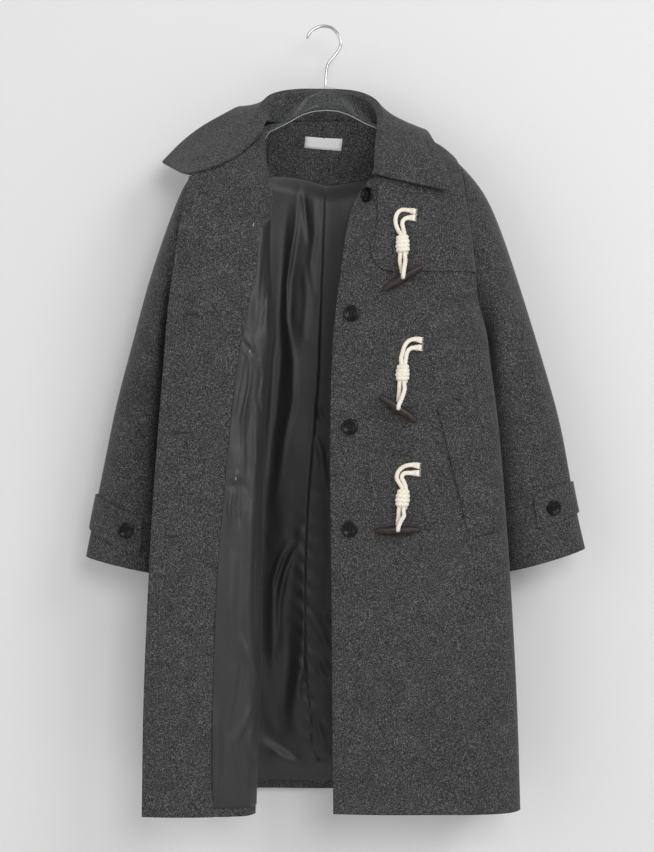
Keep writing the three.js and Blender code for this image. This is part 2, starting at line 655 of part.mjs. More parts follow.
// Storm flap: one more layer on the chest of the wearer's left front, with a level lower edge and a rounded
// lower corner. Its upper rows are its panel's, and each lower row is found on the panel's columns.
const FLAP_CLOTH = 2;
const FLAP_COLUMN = 3;
const FLAP_TOP_ROWS = 4;
const FLAP_FOOT = -375;
const LAY = 0.8;
const FLAP_EASE = 0.7;
const flapCorner = [[65, -334], [66.5, -349], [73, -364], [86, FLAP_FOOT]];

// The place and normal of a panel's column at height z
function onColumn({ grid, normals }, j, z) {
  let i = 0;
  while (grid[i + 1][j].z > z) i += 1;
  const t = (grid[i][j].z - z) / (grid[i][j].z - grid[i + 1][j].z);
  return { p: grid[i][j].clone().lerp(grid[i + 1][j], t),
    n: normals[i][j].clone().lerp(normals[i + 1][j], t).normalize() };
}

const flapColumns = even(LAST_FRONT - FLAP_COLUMN).map((_, k) => FLAP_COLUMN + k);
const flapPoints = [
  ...even(FLAP_TOP_ROWS - 1).map((_, i) => flapColumns.map((j) => ({
    p: panels.frontLeft.grid[i + 1][j].clone(), n: panels.frontLeft.normals[i + 1][j],
  }))),
  ...flapCorner.map(([x, z]) => flapColumns.map((j) => {
    const found = onColumn(panels.frontLeft, j, z);
    if (j === FLAP_COLUMN) found.p.set(x, surfaceY(panels.frontLeft, 0, x, z), z);
    if (j === FLAP_COLUMN || j > LAST_FRONT - 4) found.p.addScaledVector(found.n, FLAP_EASE);
    return found;
  })),
];
add("storm_flap", wall({
  grid: flapPoints.map((row) => row.map(({ p }) => p)),
  normals: flapPoints.map((row) => row.map(({ n }) => n)),
  from: WOOL + GAP, to: WOOL + GAP + FLAP_CLOTH,
  inside: (i, j) => i > 0 || j > 0,
  fit: (p, i, j) => j === LAST_FRONT - FLAP_COLUMN && keepBody("left", p),
}), wool);
// The outer side of the wearer's left front with its flap
const FLAP_LEFT = 64;
function onChest(x, z) {
  const covered = z > FLAP_FOOT - 2 && x > FLAP_LEFT;
  return onFront(x, z) - (covered ? GAP + FLAP_CLOTH : 0);
}

// Pocket welts, slanting down and out, one on each front
const WELT_CLOTH = 2.6;
add("pocket_welt_left", laidPiece({
  outline: between([[163, -573], [214, -557], [253.5, -751], [210, -761]]),
  rows: 9, cols: 4, surface: onFront, lift: 1, thickness: WELT_CLOTH,
}), wool);
const underLayer = columnsOf(panels.frontRight, 0, UNDER_STEPS.length);
add("pocket_welt_right", laidPiece({
  outline: between([[-206, -557], [-156, -573], [-187, -761], [-228, -751]]),
  rows: 6, cols: 3, surface: (x, z) => surfaceY(underLayer, WOOL, x, z), lift: LAY, thickness: WELT_CLOTH,
}), wool);

// Blank label on the back neck facing, sewn at its two ends
add("label", laidPiece({
  outline: between([[-30, -153.5], [27, -157], [24.5, -175], [-32, -170]]),
  rows: 2, cols: 4, surface: (x, z) => surfaceY(panels.back, -GAP - FACING, x, z), lift: 0.4, thickness: 1,
}), white);

// Cuff tabs: a strap round the outer half of each cuff, from behind the sleeve to the button in front
const TAB_CLOTH = 2.4;
const TAB_LIFT = 1.1;
const RING_STEP = 180 / YOKE_ROWS;
function sleevePoint(side, row, degrees, offset) {
  const { grid, normals } = sleeves[side];
  const turn = ((degrees / RING_STEP) + AROUND) % AROUND;
  const [i, j] = [Math.floor(row), Math.floor(turn)];
  const sample = (list) => {
    const [a, b, c, d] = [list[i][j], list[i][(j + 1) % AROUND], list[i + 1][j],
      list[i + 1][(j + 1) % AROUND]];
    return a.clone().lerp(b, turn - j).lerp(c.clone().lerp(d, turn - j), row - i);
  };
  return { point: sample(grid).addScaledVector(sample(normals).normalize(), offset),
    normal: sample(normals).normalize() };
}
const cuffTabs = {
  left: { rowTop: 8.87, rowBottom: 9.8, endTop: 8.72, endBottom: 9.85, endDegrees: 99, button: [9.33, 72] },
  right: { rowTop: 9.4, rowBottom: 10.27, endTop: 9.42, endBottom: 10.55, endDegrees: 117, button: [9.95,
    92] },
};
const TAB_START = -45;
for (const [side, tab] of Object.entries(cuffTabs)) {
  const angles = [];
  for (let a = TAB_START; a < tab.endDegrees - 5; a += RING_STEP / 2) angles.push(a);
  angles.push(tab.endDegrees);
  const rows = even(3);
  const samples = rows.map((v) => angles.map((a) => {
    const t = clamp01(a / tab.endDegrees);
    const row = mix(mix(tab.rowTop, tab.endTop, t), mix(tab.rowBottom, tab.endBottom, t), v);
    return sleevePoint(side, row, a, WOOL + TAB_LIFT);
  }));
  const grid = samples.map((row) => row.map((q) => q.point));
  const normals = samples.map((row) => row.map((q) => q.normal));
  add(`cuff_tab_${side}`, wall({ grid, normals, from: 0, to: TAB_CLOTH, inset: 0 }), wool);
}

// Horn buttons with a raised rim, each on a short thread shank
const BUTTON_RADIUS = 11.5;
const buttonProfile = (radius) => [
  [0, 0], [2.5, 0], [2.5, 1.2], [radius - 2.5, 1.2], [radius, 2.6], [radius - 0.8, 4.6],
  [radius - 3.6, 3.4], [0, 3.2],
].map(([r, h]) => new THREE.Vector2(r, h));
function addButton(name, centre, normal, radius) {
  const mesh = add(name, new THREE.LatheGeometry(buttonProfile(radius), 12), horn);
  mesh.quaternion.setFromUnitVectors(vec(0, 1, 0), normal.clone().normalize());
  mesh.position.copy(centre).addScaledVector(normal.clone().normalize(), GAP);
}
function frontNormal(x, z) {
  const slopeX = (onFront(x + 8, z) - onFront(x - 8, z)) / 16;
  const slopeZ = (onFront(x, z + 8) - onFront(x, z - 8)) / 16;
  return vec(slopeX, -1, slopeZ).normalize();
}
const frontButtons = table("x z", [[38.5, -436], [36, -600.6], [36, -749]]);
const topButton = { x: 63, z: -262, normal: vec(-0.72, -0.69, 0) };
addButton("button_1", vec(topButton.x, onFront(topButton.x, topButton.z) - 5.2, topButton.z),
  topButton.normal, BUTTON_RADIUS);
frontButtons.forEach(({ x, z }, k) => {
  addButton(`button_${k + 2}`, vec(x, onFront(x, z), z), frontNormal(x, z), BUTTON_RADIUS);
});
for (const [side, tab] of Object.entries(cuffTabs)) {
  const { point, normal } = sleevePoint(side, ...tab.button, WOOL + TAB_LIFT + TAB_CLOTH);
  addButton(`cuff_button_${side}`, point, normal, BUTTON_RADIUS - 0.6);
}

// A solid of a mesh for a cut, with its vertices merged, and the geometry of a solid.
function solidOf(geometry) {
  const bare = new THREE.BufferGeometry();
  const loose = geometry.index ? geometry.toNonIndexed() : geometry;
  bare.setAttribute("position", loose.getAttribute("position"));
  const merged = mergeVertices(bare, 1e-3);
  return new wasm.Manifold(new wasm.Mesh({
    numProp: 3, vertProperties: merged.attributes.position.array,
      triVerts: new Uint32Array(merged.index.array),
  }));
}
function geometryOf(solid) {
  const mesh = solid.getMesh();
  const geometry = new THREE.BufferGeometry();
  geometry.setAttribute("position", new THREE.BufferAttribute(mesh.vertProperties, 3));
  geometry.setIndex(new THREE.BufferAttribute(mesh.triVerts, 1));
  geometry.computeVertexNormals();
  return geometry;
}

// A round cord along a smooth line through the given points
function cordGeometry(points, radius, steps) {
  const circle = new THREE.Shape().absarc(0, 0, radius, 0, 2 * Math.PI, false);
  const path = new THREE.CatmullRomCurve3(points, false, "centripetal");
  return new THREE.ExtrudeGeometry(circle, { extrudePath: path, steps, curveSegments: 4,
    bevelEnabled: false });
}

// Toggle fastenings. The doubled cord is sewn down by its two cut ends, turns down to a wrapped knot,
// and goes
// on through the cross hole of a tapered wooden toggle. tilt raises the toggle's right end.
const CORD_RADIUS = 2.6;
const TAIL_RADIUS = 2.4;
const KNOT_WIDTH = 19;
const KNOT_DEPTH = 12;
const TOGGLE_LENGTH = 65;
const TOGGLE_RADIUS = 6.4;
const TOGGLE_HOLE = 3.2;
const fastenings = table("knotX knotTop footX knotFoot toggleX toggleZ tilt outer inner", [
  [112, -323.5, 112, -352, 112, -386, 30.6,
    [[131.5, -289], [121, -286.8], [109.5, -285.8], [102, -293.5], [99.6, -306.5], [104.5, -316.5]],
    [[113.8, -312], [113.5, -305], [117.5, -300], [124, -299], [130.5, -299]]],
  [113, -510, 111, -537, 105.5, -574, -34.6,
    [[140, -475.5], [130, -473.8], [121, -476.5], [115, -484], [111.8, -494], [110, -502]],
    [[117.2, -500], [118.6, -493.5], [123, -487.8], [130, -486.2], [139.5, -486.2]]],
  [114, -690, 110, -719, 105, -749, 1.5,
    [[136.5, -657], [126, -655.5], [115, -657.5], [106.5, -664.5], [103.6, -674], [107.5, -682]],
    [[114.2, -680.5], [111, -673.8], [114.5, -667.8], [124, -667.2], [136.5, -667.5]]],
]);
const toggleProfile = [
  [0, -0.5], [0.5, -0.5], [0.62, -0.485], [0.68, -0.46], [0.86, -0.25], [1, 0], [0.86, 0.25], [0.68,
    0.46], [0.62, 0.485],
  [0.5, 0.5], [0, 0.5],
].map(([r, h]) => new THREE.Vector2(r * TOGGLE_RADIUS, h * TOGGLE_LENGTH));
const KNOT_TURNS = 4;
const knotProfile = [[0, -0.5], [0.34, -0.5]];
for (let k = 0; k < KNOT_TURNS; k += 1) {
  const low = -0.46 + (0.92 * k) / KNOT_TURNS;
  const step = 0.92 / KNOT_TURNS;
  knotProfile.push([0.42, low + 0.08 * step], [0.5, low + 0.5 * step], [0.42, low + 0.92 * step]);
}
knotProfile.push([0.34, 0.5], [0, 0.5]);

fastenings.forEach((f, k) => {
  const number = k + 1;
  const cloth = Math.min(onChest(f.knotX, f.knotTop), onChest(f.footX, f.knotFoot));
  const lowest = (x, z, radius) => onChest(x, z) - 0.6 - radius;

  const upper = [
    ...f.outer, [f.knotX - 2.8, f.knotTop + 3.4], [f.knotX + 2.8, f.knotTop + 3.4], ...f.inner,
  ].map(([x, z]) => vec(x, lowest(x, z, CORD_RADIUS), z));
  add(`cord_${number}`, cordGeometry(upper, CORD_RADIUS, 24), cream);

  const top = vec(f.knotX, 0, f.knotTop);
  const foot = vec(f.footX, 0, f.knotFoot);
  const knotLength = top.distanceTo(foot);
  const knot = add(`knot_${number}`, new THREE.LatheGeometry(
    knotProfile.map(([r, h]) => new THREE.Vector2(r * KNOT_WIDTH, h * knotLength)), 10,
  ), cream);
  const knotY = cloth - 0.7 - KNOT_DEPTH / 2;
  knot.geometry.scale(1, 1, KNOT_DEPTH / KNOT_WIDTH);
  knot.geometry.rotateX(Math.PI / 2);
  knot.geometry.rotateY(Math.atan2(top.x - foot.x, top.z - foot.z));
  knot.position.set((top.x + foot.x) / 2, knotY, (top.z + foot.z) / 2);

  const toggleY = Math.min(onChest(f.toggleX, f.toggleZ), onChest(f.toggleX,
    f.toggleZ + 14)) - 1.4 - 2 * TAIL_RADIUS - TOGGLE_RADIUS;
  const hole = new THREE.CylinderGeometry(TOGGLE_HOLE, TOGGLE_HOLE, 4 * TOGGLE_RADIUS, 12);
  const body = new THREE.LatheGeometry(toggleProfile, 12).rotateZ(-Math.PI / 2);
  const toggle = add(`toggle_${number}`, geometryOf(solidOf(body).subtract(solidOf(hole))), darkWood);
  toggle.position.set(f.toggleX, toggleY, f.toggleZ);
  toggle.rotation.y = (-f.tilt * Math.PI) / 180;

  const behind = toggleY + TOGGLE_RADIUS + TAIL_RADIUS + 0.5;
  const before = toggleY - TOGGLE_RADIUS - TAIL_RADIUS - 0.5;
  const start = f.knotFoot - 1.8;
  const tail = [
    vec(f.footX - 3.4, knotY + 1, start), vec(f.footX - 3.6, mix(knotY, behind, 0.6), start - 8),
    vec(mix(f.footX - 3.6, f.toggleX, 0.6), behind, f.toggleZ + 14), vec(f.toggleX, behind, f.toggleZ + 5),
    vec(f.toggleX, behind - 1.2, f.toggleZ + 1.2), vec(f.toggleX, toggleY + 3.5, f.toggleZ),
    vec(f.toggleX, toggleY - 3.5, f.toggleZ), vec(f.toggleX, before + 1.2, f.toggleZ + 1.2),
    vec(f.toggleX + 0.4, before, f.toggleZ + 5), vec(mix(f.footX + 3.6, f.toggleX, 0.5), mix(before,
      knotY, 0.25), f.toggleZ + 14),
    vec(f.footX + 3.6, mix(knotY, before, 0.35), start - 8), vec(f.footX + 3.4, knotY - 1, start),
  ];
  add(`tail_${number}`, cordGeometry(tail, TAIL_RADIUS, 28), cream);
});

// Plain cord loops for the toggles, on the outer side of the turned front, between the two layers
const turnedLayer = columnsOf(panels.frontRight, TURNED_START, frontRightGrid[0].length);
const hiddenLoops = table("x z reach", [[-116, -308, 70], [-122, -493, 72], [-140, -674, 74]]);
const LOOP_HALF = 6;
hiddenLoops.forEach(({ x, z, reach }, k) => {
  const points = [
    [0, LOOP_HALF], [0.45, LOOP_HALF], [0.88, LOOP_HALF], [0.97, 4], [1, 0], [0.97, -4], [0.88, -LOOP_HALF],
    [0.45, -LOOP_HALF], [0, -LOOP_HALF],
  ].map(([share, side]) => {
    const px = x - share * reach;
    return vec(px, surfaceY(turnedLayer, WOOL, px, z + side, 1) + 0.8 + CORD_RADIUS, z + side);
  });
  add(`loop_${k + 1}`, cordGeometry(points, CORD_RADIUS, 16), cream);
});

// Hanger: a clear bar with sloping arms under the shoulders, and a steel hook with its seat at the origin
const BAR_CORE = 2;
const BAR_ROUND = 3.2;
const SHOULDER_DROP = 5.8;
const barTop = [[-72, -144], [-57, -134], [-43, -119], [-29, -102], [-18.5, -96], [3, -91], [20, -94],
  [29.5, -100], [41.5, -116], [56, -131], [72, -145]];
const barBottom = [[84, -153], [61, -143], [39, -131], [20, -124.5], [0.6, -123], [-18.5, -125], [-35,
  -130], [-54.5, -141], [-86, -157]];
const armTop = (seam) => along(seam, [0.05, 0.15, 0.3, 0.45, 0.6, 0.75]).map((p) => [p.x,
  p.z - SHOULDER_DROP]);
const leftArm = armTop(leftShoulder);
const rightArm = armTop(rightShoulder).reverse();
const ARM_HEIGHT = 11;
const barOutline = [
  ...rightArm, ...barTop, ...leftArm,
  ...[...leftArm].reverse().map(([x, z]) => [x - 3, z - ARM_HEIGHT]),
  ...barBottom,
  ...[...rightArm].reverse().map(([x, z]) => [x + 3, z - ARM_HEIGHT]),
];
const barShape = new THREE.Shape(barOutline.map(([x, z]) => new THREE.Vector2(x, z)));
const bar = new THREE.ExtrudeGeometry(barShape, {
  depth: BAR_CORE, bevelEnabled: true, bevelThickness: BAR_ROUND, bevelSize: BAR_ROUND, bevelOffset: 0,
  bevelSegments: 1,
});
bar.translate(0, 0, -BAR_CORE / 2).rotateX(Math.PI / 2);
add("hanger_bar", bar, clear);

const WIRE_RADIUS = 2.2;
const hookPath = [
  [-28, -16], [-21.5, -5.5], [-11.5, 0.8], [-2.5, 2.9], [9.5, 0.4], [19.5, -9.6], [24, -21.4], [21.6,
    -31.2],
  [14.5, -41.7], [7.5, -50], [3.6, -57.3], [1.4, -71.5], [0.8, -87.3],
].map(([x, z]) => vec(x, 0, z));
add("hanger_hook", cordGeometry(hookPath, WIRE_RADIUS, 26), steel);

export default coat;
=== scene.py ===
"""A long wool duffle coat that hangs open on a clear hanger, one front turned back over the other side."""
import math

import bmesh
import bpy
import numpy as np
from mathutils import Matrix, Vector, noise
from mathutils.bvhtree import BVHTree


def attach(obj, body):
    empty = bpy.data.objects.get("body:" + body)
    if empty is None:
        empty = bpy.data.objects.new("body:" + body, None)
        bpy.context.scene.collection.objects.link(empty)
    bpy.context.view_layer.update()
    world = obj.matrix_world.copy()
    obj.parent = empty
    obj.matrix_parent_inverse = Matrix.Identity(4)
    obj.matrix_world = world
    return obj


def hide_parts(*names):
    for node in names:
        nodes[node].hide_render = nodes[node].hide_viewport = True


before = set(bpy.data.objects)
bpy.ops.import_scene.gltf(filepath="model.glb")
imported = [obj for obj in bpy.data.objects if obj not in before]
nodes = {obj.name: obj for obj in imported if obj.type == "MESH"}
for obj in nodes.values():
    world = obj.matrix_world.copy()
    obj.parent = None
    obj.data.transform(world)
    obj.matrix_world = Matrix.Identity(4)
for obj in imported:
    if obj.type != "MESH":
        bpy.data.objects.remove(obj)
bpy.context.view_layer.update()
scene = bpy.context.scene
MM = 0.001

# Camera
# It stands level, 2.3 m in front of the hook and about half way down the coat.
def linked(name, data):
    """A new object in the scene."""
    obj = bpy.data.objects.new(name, data)
    scene.collection.objects.link(obj)
    return obj


SENSOR = 36
PICTURE_HEIGHT = 852
FOCAL_PIXELS = 1527.6
camera_data = bpy.data.cameras.new("camera")
camera_data.sensor_width = SENSOR
camera_data.lens = SENSOR * FOCAL_PIXELS / PICTURE_HEIGHT
camera = linked("camera", camera_data)
camera.location = (0.003, -2.3, -0.5993)
camera.rotation_euler = (math.radians(90), 0, 0)
scene.camera = camera
scene.view_settings.view_transform = "Standard"


# Cords and whippings
# Each fastening hangs on one soft cotton cord. Its two flattened ends are sewn to the front, and it is bent
# double, whipped with four turns of the same cord, and passed through the hole of a wooden toggle.
def rgb(code):
    """The linear colour of an sRGB hex code."""
    parts = [int(code[i:i + 2], 16) / 255 for i in (1, 3, 5)]
    return tuple(c / 12.92 if c <= 0.04045 else ((c + 0.055) / 1.055) ** 2.4 for c in parts) + (1,)


def add(tree, kind, inputs=None, stops=(), **settings):
    """Adds a shader node with its settings, colour stops, and the values or nodes that feed it."""
    node = tree.nodes.new("ShaderNode" + kind)
    for key, value in settings.items():
        setattr(node, key, value)
    for key, value in (inputs or {}).items():
        if isinstance(value, bpy.types.Node):
            value = value.outputs[0]
        if isinstance(value, bpy.types.NodeSocket):
            tree.links.new(value, node.inputs[key])
        else:
            node.inputs[key].default_value = value
    marks = node.color_ramp.elements if stops else []
    while len(marks) < len(stops):
        marks.new(0.5)
    for mark, (place, colour) in zip(marks, stops):
        mark.position = place
        mark.color = colour
    return node


def new_material(name):
    """A material with an empty tree."""
    material = bpy.data.materials.new(name)
    material.use_nodes = True
    material.node_tree.nodes.clear()
    return material, material.node_tree


def surface(tree, inputs):
    """The material's shader, which the rest of its tree feeds."""
    shader = add(tree, "BsdfPrincipled", inputs)
    add(tree, "OutputMaterial", {"Surface": shader})


# Undyed cotton, braided round a soft core: matt and off-white, painted darker between the strands as shade
# in the braid's hollows, and darker in patches of stain. The fibres are drawn 1.1 mm apart, coarser than
# real ones, so that they show.
# A name that ends in A_METRE says how many grains of a pattern go to a metre.
CORD_CREAM = rgb("#E6DED0")
CORD_SHADE_AND_STAIN = rgb("#B9AE9C")
FIBRES_A_METRE = 900.0
STAINS_A_METRE = 60.0
cotton, tree = new_material("braided_cotton")
place = add(tree, "TexCoord").outputs["Object"]
fibre = add(tree, "TexNoise",
            {"Vector": place, "Scale": FIBRES_A_METRE, "Detail": 3.0, "Roughness": 0.6})
stain = add(tree, "TexNoise", {"Vector": place, "Scale": STAINS_A_METRE, "Detail": 2.0})
strand_painted_shade = add(tree, "Attribute", attribute_name="strand_painted_shade")
# Painted shade between the strands, deepened where the cord is stained.
strand_shade_and_stain = add(tree, "Math", {0: strand_painted_shade.outputs["Fac"], 1: stain}, operation="MULTIPLY")
tone = add(tree, "Math", {0: strand_shade_and_stain, 1: fibre}, operation="ADD")
colour = add(tree, "ValToRGB", {"Fac": tone}, stops=[(0.35, CORD_SHADE_AND_STAIN), (0.8, CORD_CREAM)])
fuzz = add(tree, "Bump", {"Height": fibre, "Strength": 0.35, "Distance": 0.4 * MM})
surface(tree, {"Base Color": colour, "Normal": fuzz, "Roughness": 0.85, "Sheen Weight": 0.25,
               "Specular IOR Level": 0.25})


def show(obj, slot, *replaced):
    """Puts a finished piece on the body in place of its CAD nodes, which it hides. slot is not used."""
    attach(obj, "root")
    if replaced:
        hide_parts(*replaced)
    return obj


def piece(name, mesh, material, smooth=True):
    """A linked object with one material."""
    obj = linked(name, mesh)
    mesh.materials.clear()
    mesh.materials.append(material)
    if smooth:
        mesh.shade_smooth()
    return obj


def faces_of(*names):
    """The faces of CAD nodes, to find their surfaces with."""
    points, faces = [], []
    for name in names:
        start = len(points)
        mesh = nodes[name].data
        points += [v.co for v in mesh.vertices]
        faces += [[start + i for i in p.vertices] for p in mesh.polygons]
    return BVHTree.FromPolygons(points, faces)


def met(faces, x, z, y=-1.0):
    """Where a line that runs straight back from a point first meets the faces."""
    return faces.ray_cast(Vector((x, y, z)), Vector((0, 1, 0)))[0]


def line_through(points, step):
    """Points at an even step along a smooth curve through the given ones."""
    ends = [points[0] * 2 - points[1]] + points + [points[-1] * 2 - points[-2]]
    fine = []
    for a, b, c, d in zip(ends, ends[1:], ends[2:], ends[3:]):
        for k in range(16):
            t = k / 16
            fine.append(0.5 * (2 * b + (c - a) * t + (2 * a - 5 * b + 4 * c - d) * t * t
                               + (3 * b - a - 3 * c + d) * t ** 3))
    fine.append(points[-1])
    out, left = [fine[0]], step
    for a, b in zip(fine, fine[1:]):
        gap = (b - a).length
        while gap >= left:
            a = a + (b - a) * (left / gap)
            gap -= left
            out.append(a)
            left = step
        left -= gap
    if (out[-1] - fine[-1]).length > step / 3:
        out.append(fine[-1])
    return out


def length_of(line):
    """How long a line of points is."""
    return sum((b - a).length for a, b in zip(line, line[1:]))


def tube(name, runs, radius, fineness, caps=True, girth=None):
    """A mesh of round tubes along runs of points. girth gives the share of the radius at each point."""
    curve = bpy.data.curves.new(name, "CURVE")
    curve.dimensions = "3D"
    curve.bevel_depth = radius
    curve.bevel_resolution = fineness
    curve.use_fill_caps = caps
    for run in runs:
        spline = curve.splines.new("POLY")
        spline.points.add(len(run) - 1)
        for k, (point, co) in enumerate(zip(spline.points, run)):
            point.co = (*co, 1)
            if girth:
                point.radius = girth(k)
    holder = bpy.data.objects.new(name, curve)
    mesh = bpy.data.meshes.new_from_object(holder)
    bpy.data.objects.remove(holder)
    bpy.data.curves.remove(curve)
    mesh.name = name
    return mesh


def threads(name, runs, radius, material, slot, fineness=1):
    """One piece of round threads or wires."""
    return show(piece(name, tube(name, runs, radius, fineness), material), slot)


STRANDS = 3
STRAND_HEIGHT = 0.22 * MM
STRAND_MIDDLE = 0.4
BRAID_PITCH = 5.2 * MM
CORD_FINENESS = 5
CORD_STEP = 1.0 * MM


def cord_tube(name, line, radius, flat_ends=0.0):
    """A braided tube along a line. Its strands cross in two directions, and sewn ends are pressed flat."""
    mesh = tube(name, [line], radius, CORD_FINENESS, caps=False)
    strand_painted_shade = mesh.attributes.new("strand_painted_shade", "FLOAT", "POINT")
    total = length_of(line)
    ring = len(mesh.vertices) // len(line)
    along, reached = [0.0], 0.0
    for a, b in zip(line, line[1:]):
        reached += (b - a).length
        along.append(reached)
    for v in mesh.vertices:
        k = min(v.index // ring, len(line) - 1)
        turn = 2 * math.pi * (v.index % ring) / ring
        weave = 2 * math.pi * along[k] / BRAID_PITCH
        rise = max(math.sin(weave + STRANDS * turn), math.sin(weave - STRANDS * turn))
        out = v.co - line[k]
        if out.length > 0:
            out += out.normalized() * STRAND_HEIGHT * (rise - STRAND_MIDDLE)
        # How far the strands rise here, which the cotton material turns into painted shade between them.
        strand_painted_shade.data[v.index].value = 0.5 + 0.5 * rise
        if flat_ends:
            near = 1 - min(1, min(along[k], total - along[k]) / flat_ends)
            near = near * near * (3 - 2 * near)
            out.y *= 1 - 0.5 * near
            out.z *= 1 + 0.5 * near
        v.co = line[k] + out
    bm = bmesh.new()
    bm.from_mesh(mesh)
    bmesh.ops.holes_fill(bm, edges=[e for e in bm.edges if e.is_boundary])
    bmesh.ops.recalc_face_normals(bm, faces=bm.faces)
    bm.to_mesh(mesh)
    bm.free()
    return mesh


front = faces_of("front_left")
FLAP_RISE = 3.1 * MM
FLAP_FOOT = -377 * MM
FLAP_SIDE = 64 * MM


def chest(x, z):
    """Where the outer cloth of the buttoned front lies, on the storm flap where that covers it."""
    return met(front, x, z).y - (FLAP_RISE if z > FLAP_FOOT and x > FLAP_SIDE else 0)


CORD_RADIUS = 3.1 * MM
TAIL_RADIUS = 2.4 * MM
CORD_GAP = 0.6 * MM
FLAT_END = 15 * MM
KNOT_WIDTH = 20 * MM
KNOT_DEPTH = 12 * MM
KNOT_GAP = 0.7 * MM
KNOT_TURNS = 4
TURN_STEPS = 22
TOGGLE_LENGTH = 65 * MM
TOGGLE_RADIUS = 6.4 * MM
# Where each fastening lies, across and up in millimetres, its toggle's tilt in degrees, and the two ends of
# its cord: the outer one from its stitches to the whipping, and the inner one back from there.
fastenings = [
    dict(knot=(112, -323.5), foot=(112, -352), toggle=(112, -386), tilt=30.6,
         outer=[(131.5, -289), (121, -286.8), (110.5, -286.6), (103.6, -293.8),
                (102.2, -305.5), (106, -316.5)],
         inner=[(112.8, -312), (112, -305), (116, -299.4), (123, -297.8), (130.5, -298)]),
    dict(knot=(113, -510), foot=(111, -537), toggle=(105.5, -574), tilt=-34.6,
         outer=[(140, -475.5), (130, -473.8), (121, -476.5), (115, -484),
                (111.8, -494), (110, -502)],
         inner=[(117.2, -500), (118.6, -493.5), (123, -487.8), (130, -486.2), (139.5, -486.2)]),
    dict(knot=(114, -690), foot=(110, -719), toggle=(105, -749), tilt=1.5,
         outer=[(136.5, -657), (126, -655.5), (115, -657.5), (106.5, -664.5),
                (103.6, -674), (107.5, -682)],
         inner=[(114.2, -680.5), (111, -673.8), (114.5, -667.8), (124, -667.2), (136.5, -667.5)]),
]


def mix(a, b, t):
    """The value a share t of the way from a to b."""
    return a + (b - a) * t


def lay_on(points):
    """Route points, given across and up in millimetres, laid on the front's cloth."""
    return [Vector((x * MM, chest(x * MM, z * MM) - CORD_GAP - CORD_RADIUS, z * MM)) for x, z in points]


